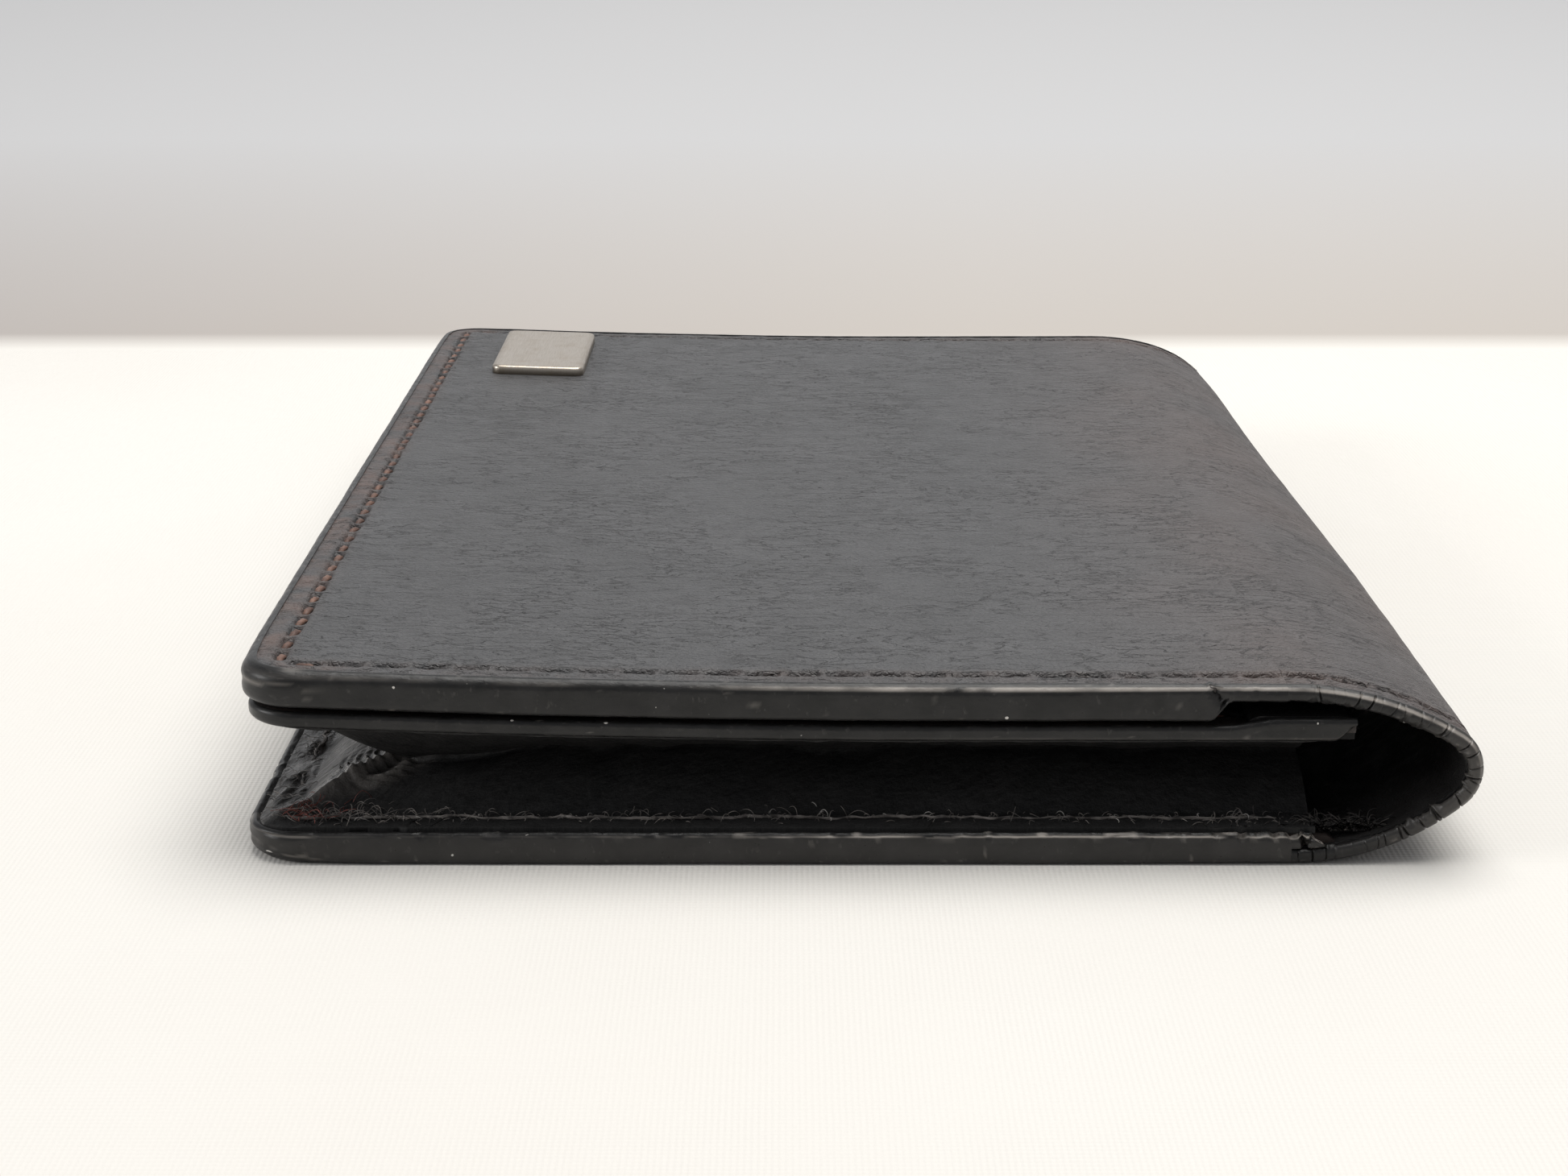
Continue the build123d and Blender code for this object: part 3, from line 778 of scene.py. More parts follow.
def paint_band(
    run, seed, low_round, high_round, thickness, top_depth=0.0, low_inset=0.85, high_inset=0.5, proud=0.035
):
    """Rings of (inset, depth) along a run for one painted edge, as thick as thickness below top_depth."""
    low_round, high_round, thickness, top_depth = (
        size * np.ones(len(run)) for size in (low_round, high_round, thickness, top_depth)
    )
    ragged = low_inset + 0.10 * line_noise(run, 1.7, seed) + 0.07 * line_noise(run, 0.6, seed + 1)
    ragged = np.minimum(ragged, low_round * 0.98)
    high_ragged = np.minimum(high_inset + 0.08 * line_noise(run, 0.9, seed + 2), high_round * 0.98)
    inset, depth = edge_section(low_round, high_round, thickness, ragged, high_ragged)
    around = np.linspace(0, 1, inset.shape[1])
    place = stack(run[:, None], around * thickness[:, None])
    lumps = 0.03 * noise(place, (5.0, 1.2), seed + 3) + 0.014 * noise(place, (0.8, 0.5), seed + 4)
    rounded = np.sin(np.pi * around) ** 0.35
    out = proud * rounded + lumps * rounded - 0.02 * (1 - rounded)
    sideways = smooth(0.0, 0.25, around) * smooth(1.0, 0.75, around)
    inset = inset - out * (0.25 + 0.75 * sideways)
    depth = depth + out * np.sign(depth - thickness[:, None] / 2) * (1 - sideways)
    inset = np.concatenate([inset, np.full((len(run), 2), 0.62)], 1)
    depth = np.concatenate([depth, stack(thickness - 0.16, 0.30)], 1)
    return inset, depth + top_depth[:, None]


def groove(run, inset, depth, at, width, amount, lean=0.0):
    """Cuts a crack across a painted edge."""
    return inset + amount * bump(run[:, None] + lean * depth, at, width)


def painted_corner_highlight(shape, strength, first, seed, run):
    """Painted highlight along one corner of an edge-painted band, centred on the ring point with the number
    first.
    """
    patchy = 0.62 + 0.5 * line_noise(run, 4.0, seed) + 0.45 * line_noise(run, 0.9, seed + 1)
    return np.clip(strength * patchy, 0, 1)[:, None] * bump(np.arange(shape[1]), first, 0.8)


def corner_marks(outline, depth, past, width, size, seed):
    """Scratches by the near corner of a painted edge: closeness to the corner, and a noise."""
    near = bump(outline.run, outline.run[outline.side] + past, width)[:, None]
    return near, noise(stack(outline.run[:, None], depth * 3), size, seed)


def leaf_band(name, outline, place, section, body, node, bare):
    """Makes a painted edge. bare is the share of worn paint and of painted highlight at each point of the
    section.
    """
    inset, depth = section
    run = outline.run[:, None]
    u, v = outline.locate(run, inset)
    rest = stack(run, inset * 2, depth).reshape(-1, 3)
    grime = noise(rest, (0.5, 0.35, 0.3), len(name))
    wear_and_light = np.clip(0.2 * smooth(0.76, 0.95, grime) + bare.ravel(), 0, 1)
    make(name, tube(place(u, v, depth)), paint, body, None, [node], rest, wear_and_light)


def slot_thickness(u):
    """Depth of the flap's edge: the slot panel ends in a bevel before the spine."""
    return cover + (flap - cover) * np.clip((slot_end - free_edge - u) / end_bevel, 0, 1)


def build_flap_edge():
    run = flap_outline.run
    u, v = flap_outline.foot.T
    high_round = 0.30 + 0.12 * smooth(60.0, 55.0, u)
    inset, depth = paint_band(run, 71, flap_rim_radius(u, v) * 0.95, high_round, slot_thickness(u))
    bevel = flap_width - (slot_end - free_edge) + 1.2
    cracks = ((bevel, 0.15, 0.45, 0.75), (2.0, 0.12, 0.14, 0.3), (3.1, 0.12, 0.10, 0.3))
    for at, width, amount, lean in cracks:
        inset = groove(run, inset, depth, at, width, amount, lean)
    # Painted highlight along the top corner, stronger towards the spine; the corner marks below are
    # scratches.
    highlight_and_wear = painted_corner_highlight(inset.shape, 1.25 * smooth(22.0, 50.0, u) + 0.12, 4.4, 301, run)
    near, scratched = corner_marks(flap_outline, depth, 1.2, 2.0, (0.9, 0.8), 303)
    highlight_and_wear = highlight_and_wear + near * smooth(0.35, 0.8, scratched) * 0.3
    inset = inset + 0.06 * near * smooth(0.1, 0.6, scratched)
    leaf_band("flap_painted_edge", flap_outline, flap_point, (inset, depth), "flap", "flap_edge_paint", highlight_and_wear)


def build_back_edge():
    """The back's painted edge. Past the start of the spine it is only as thick as the pocket's back panel."""
    outline = Outline(tongue_width - 0.35, 0.16)
    outline.split(back_width)
    run = outline.run
    u, v = outline.foot.T
    low = spine_inner_face(u) * (u > back_width)
    gusset_stop = gusset_end - free_edge
    top = back + gusset * 0.85 - 0.3 * smooth(gusset_stop - 0.3, gusset_stop + 0.5, u)
    top = top - 0.55 * smooth(tongue_width - 1.0, tongue_width - 0.3, u)
    low_round = np.where(low > 0, 0.12, back_rim_radius(u, v) * 0.95)
    inset, depth = paint_band(run, 81, low_round, 0.36, top - low, low, 0.66, 0.34)
    chips = np.clip(line_noise(run, 0.8, 85) - 0.45, 0, 1)
    torn = smooth(53.0, 63.0, u) * np.clip(line_noise(run, 0.5, 86) + 0.1, 0, 1)
    high = smooth(0.45, 0.12, top[:, None] - depth)
    inset = inset + (0.35 * chips + 0.5 * torn)[:, None] * high
    depth = depth - 0.38 * torn[:, None] * high
    cracks = ((0.5, 0.09, 0.45, 0.5), (1.3, 0.12, 0.8, -0.3), (2.1, 0.07, 0.4, 0.45))
    for at, width, amount, lean in cracks + ((5.2, 0.06, 0.2, 0.0), (11.4, 0.06, 0.12, 0.3)):
        inset = groove(run, inset, depth, at, width, amount, lean)
        inset = groove(run[-1] - run, inset, depth, at * 1.3, width, amount, lean)
    # Painted highlight along the upper corner, stronger towards the spine.
    highlight_and_wear = painted_corner_highlight(inset.shape, 1.2 * smooth(18.0, 46.0, u) + 0.15, 14.2, 305, run)
    # Painted reflection of the floor on the lower part of the edge.
    highlight_and_wear = highlight_and_wear + 0.04 * bump(np.arange(inset.shape[1]), 9.0, 3.0)
    flecks = smooth(0.35, 0.75, noise(stack(run[:, None], depth * 2), (0.8, 0.4), 307))
    near, scratched = corner_marks(outline, depth, 1.0, 2.2, (0.7, 0.6), 308)
    highlight_and_wear = highlight_and_wear + 0.28 * near * smooth(0.4, 0.85, scratched)
    inset = inset + 0.08 * near * smooth(0.1, 0.6, scratched)
    bare = np.clip(highlight_and_wear + high * (0.6 * flecks * smooth(10.0, 50.0, u)[:, None] + 0.5 * torn[:, None]), 0, 1)
    leaf_band("back_painted_edge", outline, back_point, (inset, depth), "back", "back_edge_paint", bare)


build_flap_edge()
build_back_edge()


# ---- the spine's three bends
side_insets = np.array(fine_insets + [5.6, 6.6, 7.8])
middle = np.arange(-half_length + 9.0, half_length - 8.0, 0.6)


class Bend:
    """One strip of the spine, covering one fold. blend names the fold's two bodies and the strip's end
    points, but the strip is only baked in place, not blended between them.
    """

    def __init__(self, name, number, bodies, halves):
        self.name, self.halves = name, halves
        self.start, self.end = arc_knots[number], arc_knots[number + 1]
        ends = [spine_point(at, 0.0, cover + 0.35) for at in (self.start, self.end)]
        self.blend = (*bodies, *(tuple(float(c) * MM for c in end) for end in ends))
        length = self.end - self.start
        self.pitch = length / round(length / bend_pitch)

    def runs(self, step):
        return np.linspace(self.start, self.end, int((self.end - self.start) / step) + 1)

    def inside(self, run, margin):
        """0 at both ends of the strip and 1 between them."""
        return smooth(self.start, self.start + margin, run) * smooth(self.end, self.end - margin, run)

    def nodes(self, kind):
        return [f"spine_{half}_{kind}" for half in self.halves]

    def make(self, part, mesh, look, kind, rest, wear_and_light):
        make(f"bend_{self.name}_{part}", mesh, look, None, self.blend, self.nodes(kind), rest, wear_and_light)


def bend_leather(bend):
    v = np.concatenate([-half_length + side_insets, middle, half_length - side_insets[::-1]])
    r, v = np.meshgrid(bend.runs(0.13), v, indexing="ij")
    inset = half_length - np.abs(v)
    depth = rim_depth(inset, spine_rim_radius)
    depth += seam_relief(r - bend.start, bend.pitch, inset, 17, 0.34) * (inset < open_inset)
    depth += margin_relief(r, inset, 18)
    by_flap = r > spine_total / 2
    along = np.where(by_flap, r - spine_total, r)
    depth += field_relief(along, v, 3) * smooth(0.8, 4.0, inset) * np.abs(r / spine_total * 2 - 1)
    at = stack(r, v)
    tight = smooth(6.0, 12.0, r) * smooth(spine_total - 4.0, spine_total - 10.0, r)
    drift = stack(r + 0.7 * noise(at, (2.6, 4.5), 23), v + 2.5 * noise(at, (1.9, 5.0), 24))
    cracks = np.abs(noise(drift, (0.6, 6.0), 19))
    depth += tight * (0.03 * smooth(0.22, 0.0, cracks) + 0.022 * noise(drift, (1.4, 5.0), 20))
    mesh = slab(spine_point(r, v, depth), spine_point(r, v, leather))
    # Worn leather along the rim and stitches, with painted warm reflection towards the spine.
    wear_and_light = cover_wear_and_reflection(inset, v, along) + spine_warm_reflection(v, np.where(by_flap, along, -along))
    wear_and_light = np.clip(wear_and_light, 0, 1).ravel()
    rest = stack(r - spine_total, v, depth).reshape(-1, 3)
    rest = np.concatenate([rest, rest + (0, 0, leather)])
    bend.make("skin", mesh, cover_skin, "leather", rest, np.concatenate([wear_and_light, wear_and_light]))


def bend_lining(bend):
    edge = half_length - np.array([0.6, 1.6])
    r, v = np.meshgrid(bend.runs(0.3), np.concatenate([-edge, middle, edge[::-1]]), indexing="ij")
    at = stack(r, v)
    fold = 0.05 * noise(at, (1.1, 8.0), 25) + 0.03 * noise(at, (2.4, 3.0), 26)
    inner_depth = cover - np.clip(fold, -0.05, 0.1) * bend.inside(r, 0.6)
    mesh = slab(spine_point(r, v, leather), spine_point(r, v, inner_depth))
    rest = stack(r, v, 0.0).reshape(-1, 3)
    rest = np.concatenate([rest, rest + (0, 0, cover)])
    bend.make("inner_leather", mesh, inner_skin, "lining", rest, None)


def cracked(bend, side, run, inset, depth):
    """Cuts cracks across the bend's edge, deeper towards the back."""
    rng = np.random.default_rng(100 + side + int(bend.start))
    for at in np.arange(bend.start + 0.5, bend.end - 0.3, 0.8):
        at = at + rng.uniform(-0.38, 0.38)
        amount = rng.uniform(0.10, 0.34) * rng.choice((0.35, 1.0))
        amount = amount * smooth(spine_total + 2.0, spine_total - 6.0, at)
        inset = groove(run, inset, depth, at, rng.uniform(0.04, 0.06), amount, rng.uniform(-0.35, 0.35))
    return inset


def bend_paint(bend):
    run = bend.runs(0.045)
    meshes, rest, painted_highlights = [], [], []
    for side in (-1, 1):
        inset, depth = paint_band(run, 90 + side, spine_rim_radius * 0.95, 0.3, cover, low_inset=0.58)
        ragged = line_noise(run, 0.42, 94 + side) + 0.5 * line_noise(run, 0.17, 97 + side)
        ragged = np.clip(ragged + 0.15, 0, 1)
        inner_part = smooth(cover - 0.5, cover - 0.05, depth)
        inset = inset + 0.30 * (ragged * bend.inside(run, 0.3))[:, None] * inner_part
        depth = depth + 0.16 * ((ragged - 0.3) * bend.inside(run, 0.3))[:, None] * inner_part
        inset = cracked(bend, side, run, inset, depth)
        meshes.append(tube(spine_point(run[:, None], side * (half_length - inset), depth)))
        rest.append(stack(run[:, None], inset * 2, depth).reshape(-1, 3))
        # Painted highlight along the outer corner, stronger towards the flap.
        strength = 1.3 * smooth(9.0, spine_total - 5.0, run)
        painted_highlights.append(painted_corner_highlight(inset.shape, strength, 4.6, 309 + side, run).ravel())
    rest = np.concatenate(rest)
    wear_and_light = 0.2 * smooth(0.6, 0.9, noise(rest, (0.6, 0.4, 0.4), 62)) + np.concatenate(painted_highlights)
    wear_and_light = np.clip(wear_and_light + 0.10 * bump(rest[:, 0], 12.5, 6.0), 0, 1)
    bend.make("painted_edge", join(meshes), paint, "edge_paint", rest, wear_and_light)


# ---- stitches
def stitch(centre, length, inset, depth, outward, radius, lean, dive):
    """One stitch, as rings of (run, inset, depth). outward is -1 where it faces out of the cover."""
    t = np.linspace(-1, 1, 15)[:, None]
    theta = np.linspace(0, 2 * np.pi, 13)[:-1]
    plump = np.sqrt(np.maximum(1 - np.abs(t) ** 5, 0.03))
    twist = 5.2 * t
    ply = radius * plump * (0.80 + 0.22 * np.abs(np.cos(theta - twist)))
    across = inset + lean * t * length / 2 + ply * np.cos(theta)
    height = ply * np.sin(theta) * 0.9 - dive * np.abs(t) ** 3
    return stack(centre + t * length / 2, across, depth + outward * height)


def stitch_row(start, end, pitch, seed, depth, outward, radius=0.21, lean=0.16, share=0.8, dive=0.3):
    """Stitches along a seam. Each covers a share of the pitch, and depth may be a function of the run."""
    rng = np.random.default_rng(seed)
    rows = []
    for centre in np.arange(start + pitch / 2, end - pitch * 0.3, pitch):
        centre = centre + rng.uniform(-0.06, 0.06)
        length = pitch * share * rng.uniform(0.93, 1.05)
        inset = stitch_inset + rng.uniform(-0.03, 0.03)
        level = depth(centre) if callable(depth) else depth
        thickness = radius * rng.uniform(0.92, 1.08)
        slant = lean * rng.uniform(0.6, 1.4)
        rows.append(stitch(centre, length, inset, level, outward, thickness, slant, dive))
    return rows


def thread_piece(name, rows, place, look, body=None, blend=None, nodes=(), shade=0.6, shades=None):
    """Joins threads, given as rings of (run, inset, depth), into one piece. shade is painted shade towards
    the ends of each thread, where it goes into its holes, and shades darkens whole threads with painted
    shade.
    """
    meshes, rest, wear_and_light = [], [], []
    for rings, dark in zip(rows, shades or [0.0] * len(rows)):
        meshes.append(tube(place(*np.moveaxis(rings, -1, 0))))
        rest.append(rings.reshape(-1, 3))
        ends = smooth(0.5, 1.0, np.abs(np.linspace(-1, 1, len(rings))))
        wear_and_light.append(np.repeat(np.maximum(shade * ends, dark), rings.shape[1]))
    make(name, join(meshes), look, body, blend, nodes, np.concatenate(rest), np.concatenate(wear_and_light))


def leaf_place(outline, place):
    return lambda run, inset, depth: place(*outline.locate(run, inset), depth)


def off_end_side(run, outline):
    """Distance along the seam from the end side, for its two corners and the two long rows."""
    long_row = outline.run[outline.side]
    return max(long_row - run, run - (outline.length - long_row), 0.0)


def painted_long_row_shade(rows, outline):
    """Painted shade on the thread of the two long rows, which lies hidden behind the margin; along the free
    edge it keeps its colour.
    """
    shades = []
    for rings in rows:
        run = float(np.mean(rings[..., 0]))
        uneven = 0.16 * float(line_noise(np.array([run]), 3.0, 203)[0])
        shades.append(float(np.clip(0.86 * smooth(-0.5, 1.8, off_end_side(run, outline)) + uneven, 0, 1)))
    return shades


def needle_stitches(side, outline, place, seed):
    """The visible stitches of a leaf. They lie lower on the two long rows."""

    def depth(run):
        return 0.27 + 0.17 * smooth(-0.5, 2.5, off_end_side(run, outline))

    rows = stitch_row(0, outline.length, outline.pitch, seed, depth, -1, 0.23, share=0.68)
    name, nodes = f"{side}_needle_stitches", [f"{side}_needle_thread"]
    # Painted shade on the long rows, and towards each stitch's ends.
    shades = painted_long_row_shade(rows, outline)
    thread_piece(name, rows, leaf_place(outline, place), needle_thread, side, nodes=nodes, shades=shades)


def bend_thread(bend):
    rows, shades = [], []
    for side in (-1, 1):
        # Painted shade: the outer stitches are darkened like the long rows, and the inner ones inside the
        # shell nearly to black.
        for depth, outward, radius, shade in ((0.42, -1, 0.21, 0.84), (cover - 0.05, 1, 0.12, 1.0)):
            for rings in stitch_row(bend.start, bend.end, bend.pitch, 210 + side, depth, outward, radius):
                rows.append(stack(rings[..., 0], side * (half_length - rings[..., 1]), rings[..., 2]))
                shades.append(shade)
    name, nodes = f"bend_{bend.name}_stitches", bend.nodes("thread")
    thread_piece(name, rows, spine_point, needle_thread, None, bend.blend, nodes, shades=shades)


needle_stitches("flap", flap_outline, flap_point, 201)
needle_stitches("back", back_outline, back_point, 202)
for bend in (
    Bend("lower", 0, ("back", "spine_lower"), ["lower"]),
    Bend("crown", 1, ("spine_lower", "spine_upper"), ["lower", "upper"]),
    Bend("upper", 2, ("spine_upper", "flap"), ["upper"]),
):
    bend_leather(bend)
    bend_lining(bend)
    bend_paint(bend)
    bend_thread(bend)


# ---- slot panel inside the flap
slot_outline = Outline(slot_end - end_bevel - free_edge, 0.3)


def slot_top(p):
    depth = flap - seam_relief(p.run, slot_outline.pitch, p.inset, 220, 0.3) * (p.inset < open_inset)
    depth -= np.where(p.inset < open_inset, 0, 0.012 + 0.012 * noise(p.points, (5.0, 2.4), 221))
    end_round = 0.2 * smooth(slot_outline.width - 0.35, slot_outline.width, p.points[:, 0])
    return depth - rim_depth(p.inset - 0.35, 0.3) - end_round


plain_leaf(
    "slot_panel", slot_outline, flap_point, (slot_top, cover + slot_lining), (fine_insets, plain_insets),
    inner_skin, "flap", "slot_panel_leather", 43,
)
# Painted shade towards each stitch's ends.
thread_piece(
    "flap_bobbin_stitches",
    stitch_row(1.5, slot_outline.length - 1.5, slot_outline.pitch, 222, flap - 0.24, 1, 0.19),
    leaf_place(slot_outline, flap_point), bobbin_thread, "flap", nodes=["flap_bobbin_thread"],
)

# ---- pocket front
front_half, front_corner = half_length - front_setback, corner_radius - front_setback
front_outline = Outline(front_width, 0.3, front_setback, front_half, front_corner)
hem_start = front_width - hem_width


def front_face(p):
    stitched = (p.inset < open_inset) * (p.points[:, 0] < hem_start)
    depth = front_top + seam_relief(p.run, front_outline.pitch, p.inset, 230, 0.3) * stitched
    depth += np.where(p.inset < open_inset, 0, 0.02 * (1 + noise(p.points, (7.0, 3.0), 231)))
    return depth + rim_depth(p.inset - 0.1, 0.4)


plain_leaf(
    "pocket_front_skin", front_outline, flap_point, (front_face, front_middle), (fine_insets, plain_insets),
    inner_skin, "pocket_front", "pocket_front_leather", 44,
)


def build_front_edge():
    """The pocket front's painted edge. It thickens over the hem, and its lower corner is cut at the mouth."""
    run, u = front_outline.run, front_outline.foot[:, 0]
    rise = hem_height * smooth(hem_start - 1.6, hem_start + 1.6, u)
    thickness = front_bottom - front_top + rise
    inset, depth = paint_band(run, 241, 0.36, 0.36, thickness, front_top - rise, 0.34, 0.34, 0.03)
    cut = np.clip(1 - (front_width - u) / 1.1, 0, 1)[:, None] * smooth(front_top - 0.2, front_bottom, depth)
    # A faint painted highlight along the lower corner, towards the mouth.
    highlight_and_wear = painted_corner_highlight(inset.shape, 0.08 * smooth(20.0, 60.0, u), 14.0, 311, run)
    section = (inset + cut * 0.2, depth - cut * 0.95)
    name, node = "pocket_front_painted_edge", "pocket_front_edge_paint"
    leaf_band(name, front_outline, flap_point, section, "pocket_front", node, highlight_and_wear)


build_front_edge()
beside_hem = hem_width + 0.6
# Painted shade towards each stitch's ends.
thread_piece(
    "pocket_front_stitches",
    stitch_row(
        beside_hem, front_outline.length - beside_hem, front_outline.pitch, 232, front_top + 0.24, -1, 0.19
    ),
    leaf_place(front_outline, flap_point), needle_thread, "pocket_front", nodes=["pocket_needle_thread"],
)


def mouth_hem():
    """The turned edge of the pocket's mouth: it lies on the front panel and wraps round its end."""
    start, end, top, low = hem_start, front_width, front_top - hem_height, front_bottom
    line = [(start + 0.1, front_top), (start, front_top - 0.2), (start + 0.25, top + 0.04)]
    line += [(start + 0.7, top)]
    line += [(start + 3.0, top + 0.02), (end - 1.0, top), (end - 0.55, top + 0.05), (end - 0.2, top + 0.2)]
    line += [(end, top + 0.5), (end - 0.06, top + 0.8), (end - 0.5, low - 0.3), (end - 0.75, low - 0.06)]
    line += [(end - 1.0, low + 0.03), (end - 1.4, low + 0.03), (end - 1.5, low - 0.06)]
    line += [(end - 1.0, low - 0.3), (end - 0.45, front_top + 0.15), (end - 1.0, front_top)]
    section_u, section_depth = np.array(line).T
    v = np.linspace(-half_length + 0.85, half_length - 0.85, 260)[:, None]
    at = stack(v, np.arange(len(line)) * 0.5)
    wave = 0.03 * noise(at, (4.0, 1.5), 251) + 0.015 * noise(at, (0.9, 0.8), 252)
    cut = smooth(half_length - 8.0, half_length - 1.5, np.abs(v))
    u = section_u + wave - 1.1 * cut * np.clip((section_depth - top) / (low - top), 0, 1)
    depth = section_depth + wave * (section_depth < front_top - 0.05)
    rest = stack(u, v, depth).reshape(-1, 3)
    mesh = tube(flap_point(u, v, depth))
    make("pocket_mouth_turned_edge", mesh, inner_skin, "pocket_front", None, ["pocket_mouth_hem"], rest)


mouth_hem()


# ---- gusset
flange_top = back + gusset


def corner_steps(length, dense_length, dense, coarse):
    """Distances from a corner along a side, close together near the corner."""
    count = int((length - dense_length) / coarse) + 2
    return np.concatenate([np.arange(0, dense_length, dense), np.linspace(dense_length, length, count)])


def gusset_path(inset):
    """Leaf coordinates along three sides at an inset, with small corners, and the number of the mitre."""
    width = gusset_end - free_edge
    side_length = width - 9.0
    t = 1 - corner_steps(side_length, 7.0, 0.2, 0.9)[::-1, None] / side_length
    corner_u = inset + gusset_corner
    corner_v = -half_length + inset + gusset_corner
    near_u, near_v = width + t * (corner_u - width), (corner_v - gusset_corner) + 0 * t
    a = np.linspace(0, math.pi / 2, gusset_arc + 2)[1:-1, None]
    arc_u, arc_v = corner_u - gusset_corner * np.sin(a), corner_v - gusset_corner * np.cos(a)
    half = corner_steps(half_length, 11.0, 0.16, 0.7)[:, None] / half_length / 2
    t = np.concatenate([half, 1 - half[-2::-1]])
    end_u, end_v = inset + 0 * t, corner_v - 2 * corner_v * t
    u = np.concatenate([near_u, arc_u, end_u, arc_u[::-1], near_u[::-1]])
    v = np.concatenate([near_v, arc_v, end_v, -arc_v[::-1], -near_v[::-1]])
    return u, v, len(near_u) + gusset_arc // 2


def gusset_section():
    """The gusset's outer line as (inset, share of the height), from the back flange to the front flange."""
    line = [(0.75, 0.0), (1.6, 0.0), (2.5, 0.0), (3.1, 0.014), (3.6, 0.07), (4.6, 0.18), (5.6, 0.29)]
    line += [(6.6, 0.38), (7.5, 0.445), (8.0, 0.475), (8.2, 0.5), (8.0, 0.525), (7.5, 0.555), (6.6, 0.62)]
    line += [(5.6, 0.71)]
    line += [(4.6, 0.82), (3.8, 0.93), (3.2, 0.988), (2.7, 1.0), (2.1, 1.0), (1.65, 1.0)]
    at = np.concatenate([np.linspace(0, 3, 13)[:-1], np.linspace(3, 10, 46)[:-1], np.linspace(10, 20, 24)])
    return stack(*(np.interp(at, np.arange(len(line)), values) for values in np.array(line).T))


def gusset_pleats(past, wide):
    """Sharp fan creases of the end side, next to the corner. past is the run from the mitre."""
    phase = wide / 0.56 + 0.10 * past + 0.30 * noise(stack(past, wide), (1.6, 1.2), 267)
    crease = 0.5 - np.abs(np.sin(np.pi * phase))
    reach = smooth(0.0, 0.6, past) * smooth(7.0, 3.5, past) * smooth(4.2, 5.2, wide) * smooth(8.1, 7.6, wide)
    return 0.27 * crease * reach


def gusset_loop(u, v):
    """Closeness to the rolled lip that loops round the pleats. u and v are distances from the two sides."""
    centre_u, centre_v, radius = 6.3, 9.6, 2.6
    along = np.clip((v - centre_v + radius) / (2 * radius), 0, 1)
    off = np.hypot(u - centre_u + 0.25 * (v - centre_v), (v - centre_v) * 0.72) - radius
    return bump(off, 0, 0.42) * smooth(5.0, 6.4, u) * (1 - 0.45 * along)


def gusset_corner_relief(past, wide):
    """Where the two sides meet: a raised ridge, and the near side lying lower."""
    ridge = 0.34 * bump(past, 0.1, 0.38) * smooth(0.7, 2.4, wide) * smooth(8.4, 7.4, wide)
    step = 0.40 * smooth(-0.1, 0.4, past) * smooth(11.0, 3.0, past) * smooth(0.5, 2.0, wide)
    sink = -0.30 * smooth(0.0, -0.6, past) * smooth(-9.0, -2.0, past) * smooth(1.5, 3.2, wide)
    return ridge + step + sink


